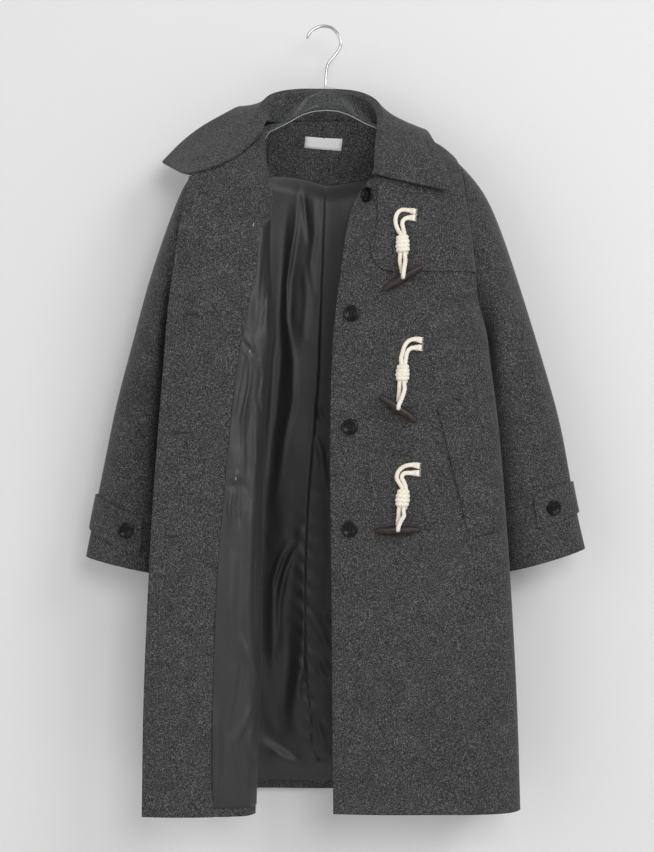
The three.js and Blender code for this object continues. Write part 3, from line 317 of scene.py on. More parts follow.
# In millimetres: how far the two legs of a cord lie from its middle line, in the whipping and below it, and
# how far above the toggle's middle they draw in, turn under and reach its hole.
LEG_IN_KNOT = 2.6
LEG_AT_FOOT = 3.4
LEG_BELOW = 3.6
LEG_DROP = 8
DRAW_IN = 14
TURN_UNDER = 5
AT_HOLE = 1.2
FRAY_FIBRES = 26
FRAY_RADIUS = 0.2 * MM
STITCH_ARCH = ((-5, -1.4), (-4.4, 0.6), (-2.4, 2.6), (0, 3), (2.4, 2.6), (4.4, 0.6), (5, -1.4))
for number, f in enumerate(fastenings, 1):
    (knot_x, knot_z), (foot_x, foot_z), (toggle_x, toggle_z) = f["knot"], f["foot"], f["toggle"]
    cloth_y = min(chest(knot_x * MM, knot_z * MM), chest(foot_x * MM, foot_z * MM))
    knot_y = cloth_y - KNOT_GAP - KNOT_DEPTH / 2
    toggle_y = min(chest(toggle_x * MM, toggle_z * MM), chest(toggle_x * MM, (toggle_z + DRAW_IN) * MM))
    toggle_y -= 2 * KNOT_GAP + 2 * TAIL_RADIUS + TOGGLE_RADIUS
    behind = toggle_y + TOGGLE_RADIUS + TAIL_RADIUS + 0.5 * MM
    before = toggle_y - TOGGLE_RADIUS - TAIL_RADIUS - 0.5 * MM
    start = foot_z - 1.8
    # The whole cord, from one sewn end through the whipping, behind the toggle, through its hole to the
    # front, and back through the whipping to the other sewn end.
    loop = [
        (foot_x - LEG_AT_FOOT, knot_y + 1 * MM, start),
        (foot_x - LEG_BELOW, mix(knot_y, behind, 0.6), start - LEG_DROP),
        (mix(foot_x - LEG_BELOW, toggle_x, 0.6), behind, toggle_z + DRAW_IN),
        (toggle_x, behind, toggle_z + TURN_UNDER),
        (toggle_x, behind - 1.2 * MM, toggle_z + AT_HOLE),
        (toggle_x, toggle_y + 3.5 * MM, toggle_z),
        (toggle_x, toggle_y - 3.5 * MM, toggle_z),
        (toggle_x, before + 1.2 * MM, toggle_z + AT_HOLE),
        (toggle_x + 0.4, before, toggle_z + TURN_UNDER),
        (mix(foot_x + LEG_BELOW, toggle_x, 0.5), mix(before, knot_y, 0.25), toggle_z + DRAW_IN),
        (foot_x + LEG_BELOW, mix(knot_y, before, 0.35), start - LEG_DROP),
        (foot_x + LEG_AT_FOOT, knot_y - 1 * MM, start),
    ]
    loop = [Vector((x * MM, y, z * MM)) for x, y, z in loop]
    down, up = ([Vector(((mix(knot_x, foot_x, t) + side * LEG_IN_KNOT) * MM, knot_y - side * 0.6 * MM,
                         mix(knot_z, foot_z, t) * MM)) for t in shares]
                for side, shares in ((-1, (0.0, 0.5)), (1, (0.5, 0.0))))
    line = line_through(lay_on(f["outer"]) + down + loop + up + lay_on(f["inner"]), CORD_STEP)
    mesh = cord_tube(f"duffle_cord_{number}", line, CORD_RADIUS, FLAT_END)
    cord = piece(f"duffle_cord_{number}", mesh, cotton)
    show(cord, "cream_cord", f"cord_{number}", f"tail_{number}")

    top = Vector((knot_x * MM, knot_y, knot_z * MM))
    axis = Vector((foot_x * MM, knot_y, foot_z * MM)) - top
    aside = Vector((-axis.z, 0, axis.x)).normalized()
    turns = []
    for k in range(KNOT_TURNS * TURN_STEPS + 1):
        turn = 2 * math.pi * k / TURN_STEPS
        down_share = mix(0.1, 0.9, k / (KNOT_TURNS * TURN_STEPS))
        swell = 1 - 0.5 * abs(2 * down_share - 1) ** 3
        swell *= 1 + 0.05 * math.sin(2.3 * k / TURN_STEPS + number)
        turns.append(top + axis * (down_share + 0.022 * math.sin(turn + 1))
                     + aside * math.cos(turn) * swell * (KNOT_WIDTH / 2 - TAIL_RADIUS - 0.9 * MM)
                     + Vector((0, -math.sin(turn) * swell * (KNOT_DEPTH / 2 - TAIL_RADIUS), 0)))
    # The turns press on each other, so they are a little wider than the room each has.
    whip = cord_tube(f"whipping_{number}", line_through(turns, CORD_STEP), axis.length / KNOT_TURNS / 1.9)
    whipping = piece(f"whipping_{number}", whip, cotton)
    show(whipping, "cream_cord", f"knot_{number}")

    # Where the cord was cut its fibres stand out, and two cream stitches hold it down.
    runs = []
    for end, inward in ((line[0], line[4] - line[0]), (line[-1], line[-5] - line[-1])):
        inward.normalize()
        for k in range(FRAY_FIBRES):
            spread = Vector((0, 0.7 * math.sin(k * 5.3), 1.7 * math.sin(k * 2.4))) * 2.2 * MM
            out = inward * -(1.6 + 1.1 * math.sin(k * 3.7)) * MM
            runs.append([end + spread, end + spread * 1.08 + out * 0.6, end + spread * 1.35 + out])
        for away in (5 * MM, 8 * MM):
            middle = end + inward * away
            runs.append([middle + Vector((0, -y * MM, z * MM)) for z, y in STITCH_ARCH])
    fray = threads(f"end_threads_{number}", runs, FRAY_RADIUS, cotton, "cream_cord", fineness=0)
    f.update(line=line, fray=fray, cord=cord, whipping=whipping, toggle_y=toggle_y)


# Wool cloth
# The coat is cut from heathered wool melton about 2 mm thick: a fulled, brushed cloth of dark and pale grey
# fibres. Each panel hangs from the shoulders, with soft troughs where it is slack.
WOOL_DARK = rgb("#161616")
WOOL_MID = rgb("#303030")
WOOL_PALE = rgb("#727272")
# Fulled wool has no visible weave, and scatters light from a short nap. Its pale flecks are 0.9 mm wide, in
# clumps of 2 mm, drawn coarser than the real fibres so that they show, over faint clouds 26 mm wide.
FLECKS_A_METRE = 1150.0
CLUMPS_A_METRE = 540.0
CLOUDS_A_METRE = 38.0
wool, tree = new_material("heathered_wool_melton")
place = add(tree, "TexCoord").outputs["Object"]
fleck = add(tree, "TexNoise",
            {"Vector": place, "Scale": FLECKS_A_METRE, "Detail": 1.5, "Roughness": 0.6})
clump = add(tree, "TexNoise",
            {"Vector": place, "Scale": CLUMPS_A_METRE, "Detail": 1.5, "Roughness": 0.55, "Distortion": 0.4})
cloud = add(tree, "TexNoise", {"Vector": place, "Scale": CLOUDS_A_METRE, "Detail": 2.0})
both = add(tree, "Mix", {"Factor": 0.45, "A": fleck, "B": clump})
cloudy = add(tree, "Mix", {"Factor": 0.06, "A": both, "B": cloud})
colour = add(tree, "ValToRGB", {"Fac": cloudy},
             stops=[(0.36, WOOL_DARK), (0.5, WOOL_MID), (0.66, WOOL_PALE)])
nap = add(tree, "Bump", {"Height": both, "Strength": 0.55, "Distance": 0.9 * MM})
surface(tree, {"Base Color": colour, "Normal": nap, "Roughness": 0.92, "Sheen Weight": 0.12,
               "Sheen Roughness": 0.5, "Specular IOR Level": 0.15})

# Creases by side of the coat, in millimetres: the half width, how far the cloth stands out (or in, where it
# is below nothing), and then the places, across and up, that the crease runs through. Each fades out at both
# ends and is a little uneven along the way.
front_creases = [
    (9, -2.6, 205, -470, 215, -516, 232, -560),
    (22, 2.4, 216, -790, 229, -935, 226, -1080),
    (30, -2.6, 150, -850, 157, -986, 176, -1120),
    (26, 2.2, 96, -900, 97, -1015, 90, -1130),
    (8, -2.2, 196, -330, 205, -392, 224, -452),
    (16, 1.6, 178, -420, 203, -468, 215, -520),
    (12, -1.2, 128, -232, 154, -226, 178, -214),
    (18, -1.8, 118, -980, 129, -1060, 130, -1140),
]
turned_creases = [
    (12, 1.2, -176, -360, -177, -415, -186, -470),
    (18, -1.3, -150, -520, -166, -609, -170, -700),
    (20, 1.5, -196, -820, -196, -915, -206, -1010),
    (24, -1.7, -172, -900, -174, -1010, -166, -1120),
    (12, -1, -118, -260, -125, -296, -140, -330),
    (14, 1.3, -222, -1020, -214, -1080, -214, -1140),
]
back_creases = [
    (14, -2.4, 150, -250, 181, -286, 196, -330),
    (14, -2.4, -140, -250, -171, -286, -186, -330),
    (13, -3, 188, -340, 213, -403, 226, -470),
    (13, -3, -176, -340, -201, -403, -214, -470),
    (20, 1.8, 60, -300, 82, -368, 118, -430),
    (20, 1.8, -52, -290, -74, -368, -110, -440),
    (12, -1.2, 0, -240, 5, -330, 3, -420),
    (30, 3.2, 108, -620, 128, -870, 124, -1120),
    (28, 3, -96, -640, -116, -870, -116, -1100),
    (26, -2.6, 42, -700, 33, -920, 36, -1140),
    (24, -2.2, -34, -760, -30, -945, -40, -1130),
    (26, -2.8, 186, -700, 203, -880, 204, -1060),
    (24, -2.6, -178, -690, -192, -885, -194, -1080),
    (14, -1.3, -70, -520, -23, -528, 20, -548),
    (16, -1.4, 74, -470, 110, -490, 150, -500),
]
sleeve_left_creases = [
    (12, -2.4, 222, -300, 248, -358, 262, -420),
    (8, -3.2, 214, -230, 216, -281, 232, -330),
    (12, -3, 250, -452, 280, -462, 300, -486),
    (14, -2.6, 262, -520, 290, -546, 326, -560),
    (12, 2.4, 276, -600, 312, -588, 350, -588),
    (14, -2.2, 296, -640, 326, -659, 360, -668),
    (12, 2, 300, -716, 334, -701, 372, -700),
    (11, 2.4, 240, -380, 261, -406, 292, -420),
    (20, 1.8, 300, -470, 326, -554, 340, -640),
    (10, -1.2, 330, -820, 354, -827, 376, -840),
]
sleeve_right_creases = [
    (6, -8, -222, -340, -233, -450, -243, -560, -250, -680),
    (12, -2.4, -206, -300, -232, -358, -246, -420),
    (8, -3, -198, -236, -201, -284, -216, -330),
    (12, -2.8, -226, -470, -259, -478, -284, -500),
    (13, -2.4, -240, -540, -270, -560, -306, -566),
    (14, 2.2, -252, -600, -292, -604, -330, -620),
    (12, -2.2, -266, -668, -301, -665, -332, -650),
    (12, 1.8, -270, -728, -307, -740, -346, -742),
    (11, 2.2, -224, -390, -241, -418, -268, -436),
    (18, 1.6, -290, -480, -309, -559, -316, -640),
]
sleeve_left_back_creases = [
    (13, -3, 210, -290, 242, -315, 262, -350),
    (13, -3.2, 236, -430, 266, -457, 304, -470),
    (14, -3, 252, -500, 292, -520, 322, -552),
    (13, 2.4, 270, -620, 309, -619, 346, -604),
    (13, -2.4, 292, -690, 329, -699, 362, -720),
    (12, 1.8, 304, -760, 336, -749, 370, -748),
]
sleeve_right_back_creases = [
    (13, -3, -196, -290, -227, -318, -246, -356),
    (13, -3, -220, -440, -251, -466, -290, -478),
    (14, -2.8, -236, -530, -278, -543, -312, -570),
    (13, 2.4, -258, -640, -298, -638, -334, -622),
    (13, -2.2, -276, -716, -313, -721, -346, -738),
    (12, 1.6, -290, -778, -321, -776, -350, -766),
]
collar_creases = [
    (16, 1.6, -150, -142, -119, -125, -84, -120),
    (12, -1.2, -60, -124, -38, -115, -20, -100),
    (14, 1.4, 96, -130, 112, -151, 122, -176),
    (12, 1.2, -206, -150, -189, -137, -170, -130),
]


def stand_out(points, creases):
    """How far cloth stands out at each point, in metres."""
    at = points[:, [0, 2]] / MM
    total = np.zeros(len(at))
    for half, height, *line in creases:
        line = np.array(line, float).reshape(-1, 2)
        sizes = np.linalg.norm(np.diff(line, axis=0), axis=1)
        best, share = np.full(len(at), np.inf), np.zeros(len(at))
        for k, size in enumerate(sizes):
            step = (line[k + 1] - line[k]) / size
            along = np.clip((at - line[k]) @ step, 0, size)
            off = np.linalg.norm(at - line[k] - along[:, None] * step, axis=1)
            nearer = off < best
            best[nearer] = off[nearer]
            share[nearer] = (sizes[:k].sum() + along[nearer]) / sizes.sum()
        fade = np.clip(np.sin(np.pi * share), 0, 1) ** 0.7 * (0.85 + 0.15 * np.sin(9 * share + half))
        total += height * fade * np.exp(-(best / half) ** 2)
    return total * MM


def uneven(points, seed, height, size):
    """The slight waviness of hanging cloth at each point."""
    return np.array([height * noise.noise(Vector((x / size, seed, z / (1.6 * size)))) for x, _, z in points])


CREASE_ANGLE = math.radians(48)
EDGE_ANGLE = math.radians(60)


def mesh_of(bm, name):
    """Makes a bmesh into a mesh."""
    mesh = bpy.data.meshes.new(name)
    bm.to_mesh(mesh)
    bm.free()
    return mesh


def cloth_mesh(name, levels):
    """A smooth shell on a CAD cloth solid, from its triangles paired into quads. Cut edges stay crisp."""
    bm = bmesh.new()
    bm.from_mesh(nodes[name].data)
    bmesh.ops.remove_doubles(bm, verts=bm.verts, dist=0.02 * MM)
    bmesh.ops.join_triangles(bm, faces=bm.faces, angle_face_threshold=math.radians(35),
                             angle_shape_threshold=math.radians(60), topology_influence=1.0)
    crease = bm.edges.layers.float.new("crease_edge")
    for edge in bm.edges:
        if len(edge.link_faces) == 2 and edge.calc_face_angle() > CREASE_ANGLE:
            edge[crease] = 1.0
    mesh = mesh_of(bm, name + "_cloth")
    holder = linked(name + "_cloth", mesh)
    rounding = holder.modifiers.new("rounding", "SUBSURF")
    rounding.levels = rounding.render_levels = levels
    view = bpy.context.evaluated_depsgraph_get()
    smooth = bpy.data.meshes.new_from_object(holder.evaluated_get(view))
    bpy.data.objects.remove(holder)
    bpy.data.meshes.remove(mesh)
    smooth.name = name + "_cloth"
    return smooth


def points_of(mesh):
    """A mesh's points as rows of an array."""
    flat = np.zeros(3 * len(mesh.vertices))
    mesh.vertices.foreach_get("co", flat)
    return flat.reshape(-1, 3)


def round_edges(obj, width):
    """Smooths the faces up to the sharp edges, and rounds those edges over if they have a width."""
    obj.data.set_sharp_from_angle(angle=EDGE_ANGLE)
    if width:
        edge = obj.modifiers.new("rounded_edge", "BEVEL")
        edge.width = width
        edge.segments = 2
        edge.limit_method = "ANGLE"
        edge.angle_limit = EDGE_ANGLE


FINER_EDGE = 1.2 * MM


def cloth(name, levels, move, material, slot, cut, area, held_by, bevel=0.5 * MM, finer=None):
    """A cloth piece that replaces its CAD solid.

    move gives how far each of its points goes along Y. cut, the width and length of its flat pattern, and
    area, what the pattern covers of them, are not used. finer is the stretch across in which the mesh is
    halved again.
    """
    mesh = cloth_mesh(name, levels)
    if finer:
        bm = bmesh.new()
        bm.from_mesh(mesh)
        bmesh.ops.subdivide_edges(bm, edges=[e for e in bm.edges if e.calc_length() > FINER_EDGE
                                             and all(finer[0] < v.co.x < finer[1] for v in e.verts)],
                                  cuts=1, use_grid_fill=True)
        bm.to_mesh(mesh)
        bm.free()
    points = points_of(mesh)
    points[:, 1] += move(points)
    mesh.vertices.foreach_set("co", points.ravel())
    obj = piece(name + "_cloth", mesh, material)
    round_edges(obj, bevel)
    show(obj, slot, name)
    return obj


def woollen(name, move, cut, area, held_by, **more):
    """A piece cut from the coat's own cloth."""
    return cloth(name, 2, move, wool, "wool", cut, area, held_by, **more)


def unmoved(points):
    """The move of a small piece that stays as its solid is."""
    return 0.0


def ease(value, low, high):
    """0 below low, 1 above high, and a smooth step between."""
    t = np.clip((value - low) / (high - low), 0, 1)
    return t * t * (3 - 2 * t)


def within(value, low, high, soft):
    """1 between low and high, and 0 beyond a soft edge."""
    return ease(value, low - soft, low) * (1 - ease(value, high, high + soft))


STILL_ACROSS = (0.02, 0.145)
STILL_UP = (-0.78, -0.25)


def front_move(points):
    """The buttoned front, which lies flat and still under its toggles and buttons."""
    x, z = points[:, 0], points[:, 2]
    still = within(x, *STILL_ACROSS, 0.02) * within(z, *STILL_UP, 0.03)
    return -(stand_out(points, front_creases) + uneven(points, 3.1, 1.1 * MM, 0.07)) * (1 - still)


# Buttoned front
# The wearer's left front: shell cloth with its facing behind it, joined all along the front edge and turned
# out, then stitched 3 mm from the edge. It carries the buttons and the toggles.
woollen("front_left", front_move, (0.34, 1.02), 0.303, "clear_bar")
woollen("facing_left", front_move, (0.09, 0.93), 0.066, "front_left_cloth")


# Storm flap
# A second layer over the shoulder of the buttoned front, from the armhole to a rounded corner by the collar.
# It is bagged out, laid on the front and stitched round its free edge.
FLAP_LIFT = 0.8 * MM
woollen("storm_flap", lambda points: front_move(points) - FLAP_LIFT, (0.165, 0.21), 0.029,
        "front_left_cloth")


# Pocket welts
# Slanting pockets whose stiff welts stand on the front with stitched ends. The turned front has the other.
woollen("pocket_welt_left", front_move, (0.05, 0.21), 0.0103, "front_left_cloth")


UNDER_LAYER = 70 * MM
TOP_LAYER = 84 * MM


def turned_move(points):
    """The turned front, whose top layer shows facing and lining. Its under layer lies still behind."""
    near = ease(-points[:, 1], UNDER_LAYER, TOP_LAYER)
    return -near * (stand_out(points, turned_creases) + uneven(points, 7.7, 1.2 * MM, 0.08))


woollen("pocket_welt_right", turned_move, (0.048, 0.205), 0.0096, "front_right_cloth")


# Turned front
# The wearer's right front is folded back on itself, so its inner side faces out: a wide wool facing along
# the edge, with four buttonholes, and satin lining from the facing to the fold.
woollen("front_right", turned_move, (0.4, 1.02), 0.355, "clear_bar")
woollen("facing_right", turned_move, (0.12, 1.02), 0.102, "front_right_cloth")


# Back
# One wide panel that hangs from the shoulder seams, slack below the shoulder blades and falling in soft
# upright folds to the hem.
def back_move(points):
    """The back panel, which moves less and less round the sides of the body."""
    behind = ease(points[:, 1], 0.0, 0.05)
    return behind * (stand_out(points, back_creases) + uneven(points, 1.9, 1.4 * MM, 0.09))


woollen("back", back_move, (0.64, 1.05), 0.57, "clear_bar")
neck = woollen("back_neck_facing", unmoved, (0.19, 0.12), 0.0165, "back_cloth", bevel=0.3 * MM).data
# Its lower edge hangs in a shallow point over the top of the lining, and its upper edge meets the collar.
point_across = [-110, -57, -23, 3, 34, 69, 110]
point_heights = [-204, -211, -218, -227, -222, -214, -206]
SOLID_FOOT = -0.187
TOP_RISE = 2.2 * MM
FOOT_PROUD = 1.5 * MM
inside = faces_of("back_neck_facing", "lining_back")
points = points_of(neck)
for point in points:
    x, y, z = point
    foot = np.interp(x / MM, point_across, point_heights) * MM
    now = z + ease(-z, 0.150, -SOLID_FOOT) * (foot - SOLID_FOOT) + TOP_RISE * ease(z, -0.142, -0.133)
    before, after = (met(inside, x, height, 0.0) for height in (z, now))
    if before and after:
        point[1] += (after.y - before.y) - FOOT_PROUD * ease(-now, 0.18, 0.19)
    point[2] = now
neck.vertices.foreach_set("co", points.ravel())


# Sleeves
# Set-in sleeves, a little full, that hang close to the body with slanting folds above and below the elbow.
CUFF_UP = (-0.80, -0.70)


def sleeve_move(front_table, behind_table, seed):
    """How a sleeve's two sides move. It stays as it is under the cuff tab and its button."""
    def move(points):
        forward = ease(-points[:, 1], 0.0, 0.022)
        behind = ease(points[:, 1], 0.0, 0.022)
        wave = uneven(points, seed, 1.5 * MM, 0.05)
        quiet = 1 - within(points[:, 2], *CUFF_UP, 0.02)
        return (behind * (stand_out(points, behind_table) + wave)
                - forward * (stand_out(points, front_table) + wave)) * quiet
    return move


left_move = sleeve_move(sleeve_left_creases, sleeve_left_back_creases, 4.4)
right_move = sleeve_move(sleeve_right_creases, sleeve_right_back_creases, 5.6)
woollen("sleeve_left", left_move, (0.36, 0.63), 0.15, "back_cloth")
woollen("sleeve_right", right_move, (0.34, 0.63), 0.138, "back_cloth")
woollen("cuff_tab_left", left_move, (0.055, 0.125), 0.0065, "sleeve_left_cloth")
woollen("cuff_tab_right", right_move, (0.055, 0.145), 0.0076, "sleeve_right_cloth")


# Collar
# A wide two-layer collar, stiff enough to stand at the back and lie open on the fronts in two long points.
LEAF_TOP = -0.185
LEAF_EDGE = 0.160
LEAF_SLOPE = 0.28
LEAF_LIFT = 4.5 * MM
ROLL_HEIGHT = 2.4 * MM
GROOVE_DEPTH = 1.2 * MM


def collar_move(points):
    """The collar's leaves ease outwards, and the pointed one's outer edge stands off the shoulder."""
    x, y, z = points.T
    near = ease(-y, -0.02, 0.02)
    aside = x - (LEAF_EDGE + (LEAF_TOP - z) * LEAF_SLOPE)
    edge = np.exp(-np.minimum(aside, 0) ** 2 / 0.03 ** 2)
    lift = LEAF_LIFT * ease(x, 0.09, 0.15) * edge * ease(-z, 0.12, 0.16)
    roll = ROLL_HEIGHT * np.exp(-((aside + 3 * MM) / (3.5 * MM)) ** 2)
    roll -= GROOVE_DEPTH * np.exp(-((aside + 10 * MM) / (3 * MM)) ** 2)
    roll *= ease(x, 0.12, 0.16)
    return -near * stand_out(points, collar_creases) - (lift + roll) * ease(-y, 0.0, 0.03)


woollen("collar", collar_move, (0.62, 0.13), 0.068, "back_cloth", bevel=1.2 * MM, finer=(0.12, 0.2))


# Lining
# Polyester satin, cut looser than the coat and hung inside it from the facings. It slides on itself and
# catches light along its creases, with a pleat down the middle of the back.
SATIN_DARK = rgb("#1E1E1F")
SATIN_PALE = rgb("#2D2D2E")
# Its yarns are too fine to see, so they are drawn 0.7 mm wide, and longer in the way that the cloth hangs.
# They ripple faintly every 8 mm.
YARNS_A_METRE = 1400.0
RIPPLES_A_METRE = 130.0
satin, tree = new_material("polyester_satin")
place = add(tree, "TexCoord").outputs["Object"]
drawn_out = add(tree, "Mapping", {"Vector": place, "Scale": (1.0, 1.0, 0.22)})
streak = add(tree, "TexNoise", {"Vector": drawn_out, "Scale": YARNS_A_METRE, "Detail": 2.0})
colour = add(tree, "ValToRGB", {"Fac": streak}, stops=[(0.3, SATIN_DARK), (0.7, SATIN_PALE)])
ripple = add(tree, "TexNoise", {"Vector": place, "Scale": RIPPLES_A_METRE, "Detail": 2.0})
weave = add(tree, "Mix", {"Factor": 0.25, "A": streak, "B": ripple})
soft = add(tree, "Bump", {"Height": weave, "Strength": 0.16, "Distance": 0.6 * MM})
surface(tree, {"Base Color": colour, "Normal": soft, "Roughness": 0.47, "Sheen Weight": 0.08,
               "Specular IOR Level": 0.4})

lining_creases = [
    (4, 2.6, -40, -213, -46, -295, -60, -380, -58, -470),
    (4, -2.8, -34, -226, -30, -270, -25, -320),
    (5, 2.2, -18, -236, -15, -300, -22, -350, -17, -400),
    (6, 1.8, -32, -345, -28, -400, -34, -470),
    (17, -10, -60, -236, -67, -380, -74, -520, -90, -690, -100, -840, -102, -960),
    (20, 11, 32, -226, 34, -600, 40, -1100),
    (6, 2.8, -47, -226, -58, -360, -62, -430, -50, -500, -50, -560, -64, -620, -78, -730),
    (5, 4.4, -30, -755, -50, -778, -66, -800, -80, -840, -82, -890, -80, -970),
    (5, 4.0, -30, -775, -48, -792, -62, -822, -71, -870, -74, -950),
    (5, -3.6, -40, -765, -58, -795, -76, -840, -84, -880),
    (15, -4.6, -48, -800, -52, -860, -58, -940, -60, -1010, -74, -1075),
    (9, -3.4, -102, -1066, -80, -1088, -56, -1104, -26, -1122),
    (10, 3.4, -98, -1090, -74, -1108, -40, -1130),
    (8, 3.6, -30, -880, -34, -930, -44, -985, -50, -1040, -44, -1090),
    (6, 2.4, -30, -960, -42, -1000, -36, -1050),
    (4, 3.0, -22, -905, -6, -922, 10, -950),
    (4, -3.0, -20, -880, -2, -898, 14, -918),
    (4, 2.8, -20, -950, -4, -962, 12, -990),
    (4, -3.2, -18, -966, 0, -990, 12, -1000),
    (4, -2.4, -24, -690, -8, -700, 10, -712),
    (5, 2.6, -22, -600, -6, -640, 2, -700),
    (4, -2.2, -16, -560, -4, -590, 6, -600),
    (4, 2.2, -20, -1030, -8, -1070, 4, -1110),
    (12, 3.2, 56, -300, 62, -520, 54, -760, 60, -1000),
    (14, -3.0, 92, -420, 100, -700, 94, -1100),
    (18, 3.0, 130, -480, 140, -760, 132, -1100),
    (16, -2.6, 168, -540, 176, -800, 170, -1100),
    (14, 2.4, -130, -540, -140, -800, -134, -1100),
    (14, -2.4, -170, -560, -176, -820, -172, -1100),
]
turned_lining_creases = [
    (4, -3.9, -87, -330, -88, -370, -90, -425, -97, -470),
    (5, 3.6, -80, -400, -84, -440, -79, -495, -84, -540),
    (3, 2.6, -119, -464, -112, -476, -104, -484, -97, -500),
    (3, -2.6, -120, -474, -112, -486, -106, -496),
    (2.5, 2.4, -122, -486, -113, -494, -108, -510),
    (4, -3.6, -112, -492, -116, -540, -126, -590, -124, -630),
    (3.5, 3.6, -106, -494, -109, -540, -118, -590, -116, -650),
    (3.5, -3.3, -98, -500, -92, -530, -97, -560, -90, -590),
    (3.5, 3.3, -94, -500, -89, -524, -93, -552, -86, -580),
    (4, -3.3, -104, -560, -108, -610, -112, -670),
    (4, 3.0, -100, -600, -98, -640, -104, -700),
    (3, 3.9, -142, -668, -134, -676, -126, -670, -116, -678),
    (3, -3.9, -138, -680, -128, -688, -120, -684, -110, -690),
    (3, 3.3, -134, -692, -138, -716, -136, -744),
    (3, -3.3, -122, -690, -126, -716, -122, -740),
    (6, 3.9, -106, -700, -108, -780, -112, -860, -106, -940),
    (5, -3.0, -96, -720, -99, -800, -101, -890, -94, -960),
    (8, 2.7, -130, -780, -136, -860, -128, -940),
    (5, 3.3, -124, -900, -112, -930, -98, -950, -92, -990),
    (5, -3.3, -128, -920, -118, -950, -126, -1000, -138, -1050),
    (4, -4.2, -92, -1000, -104, -1024, -116, -1044, -108, -1068, -100, -1090),
    (5, 3.6, -98, -1000, -112, -1018, -128, -1052, -120, -1110),
    (2.5, -2.4, -148, -990, -149, -1060, -150, -1145),
    (5, 2.7, -160, -1000, -162, -1060, -158, -1140),
]
pleat_heights = [-1151, -1117, -1094, -1069, -1023, -975, -931, -831, -707, -536, -376, -236]
pleat_places = [-8, -11, -22, -20, -25, -30, -31, -31, -26, -11, -5, 0]
PLEAT_STEP = 2.6 * MM
PLEAT_REACH = 35 * MM
PUCKER_HEIGHT = 1.6 * MM
PUCKER_REACH = 12 * MM
LINING_SLACK = 8 * MM


def lining_move(points):
    """The back lining only ever comes forward of the cloth behind it, and laps over itself at the pleat."""
    x, y, z = points.T
    aside = x - np.interp(z / MM, pleat_heights, pleat_places) * MM
    lap = PLEAT_STEP * (1 - ease(aside, -1.5 * MM, 1.5 * MM)) * np.exp(-np.abs(aside) / PLEAT_REACH)
    low = ease(-z, 0.68, 0.82)
    crumple = uneven(points * (1, 1, 0.6), 4.4, 1.1 * MM, 0.016) * (0.25 + 0.75 * low)
    pucker = PUCKER_HEIGHT * low * np.exp(-np.abs(aside) / PUCKER_REACH)
    pucker *= np.sin(z / (4.6 * MM) + 9 * aside / 0.05)
    out = stand_out(points, lining_creases) + uneven(points, 9.3, 1.8 * MM, 0.05) + lap + crumple + pucker
    facing_foot = np.interp(x / MM, point_across, point_heights) * MM
    held = ease(facing_foot - z, 0, 0.03) * (1 - ease(-z, 1.115, 1.15)) * ease(y, 0.01, 0.05)
    return -np.maximum(0, out + LINING_SLACK) * held


seam_heights = [-760, -688, -576, -488, -440, -387, -335, -312, -297]
seam_places = [-163, -147, -134, -122, -113, -101, -97, -91, -78]
TURNED_SLACK = 1.6 * MM


def turned_lining_move(points):
    """The turned front's lining, which puckers where threads tie it to the cloth behind."""
    x, y, z = points.T
    past_seam = x - np.interp(z / MM, seam_heights, seam_places) * MM
    held = ease(-z, 0.30, 0.34) * (1 - ease(-z, 1.12, 1.15)) * ease(past_seam, -3 * MM, 3 * MM)
    crumple = uneven(points * (1, 1, 0.4), 2.7, 1.3 * MM, 0.011)
    crumple *= 0.5 + 0.5 * within(z, -0.72, -0.32, 0.05)
    wave = uneven(points, 6.1, 1.2 * MM, 0.04)
    extra = np.maximum(0, stand_out(points, turned_lining_creases) + wave + crumple + TURNED_SLACK)
    return turned_move(points) - ease(-y, UNDER_LAYER, TOP_LAYER) * extra * held


cloth("lining_back", 3, lining_move, satin, "satin", (0.62, 0.97), 0.424, "back_neck_facing_cloth", bevel=0,
      finer=(-0.115, 0.04))
turned_lining = cloth("lining_right", 3, turned_lining_move, satin, "satin", (0.1, 0.89), 0.083,
                      "facing_right_cloth", bevel=0, finer=(-0.17, -0.07))

# Black polyester thread, twisted so tight that it only shows a faint fleck.
THREAD_BLACK = rgb("#0B0B0C")
THREAD_WORN = rgb("#161617")
TWISTS_A_METRE = 2500.0
thread_black, tree = new_material("twisted_polyester_thread")
place = add(tree, "TexCoord").outputs["Object"]
twist = add(tree, "TexNoise", {"Vector": place, "Scale": TWISTS_A_METRE, "Detail": 1.0})
colour = add(tree, "ValToRGB", {"Fac": twist}, stops=[(0.3, THREAD_BLACK), (0.8, THREAD_WORN)])
surface(tree, {"Base Color": colour, "Roughness": 0.7, "Sheen Weight": 0.2})

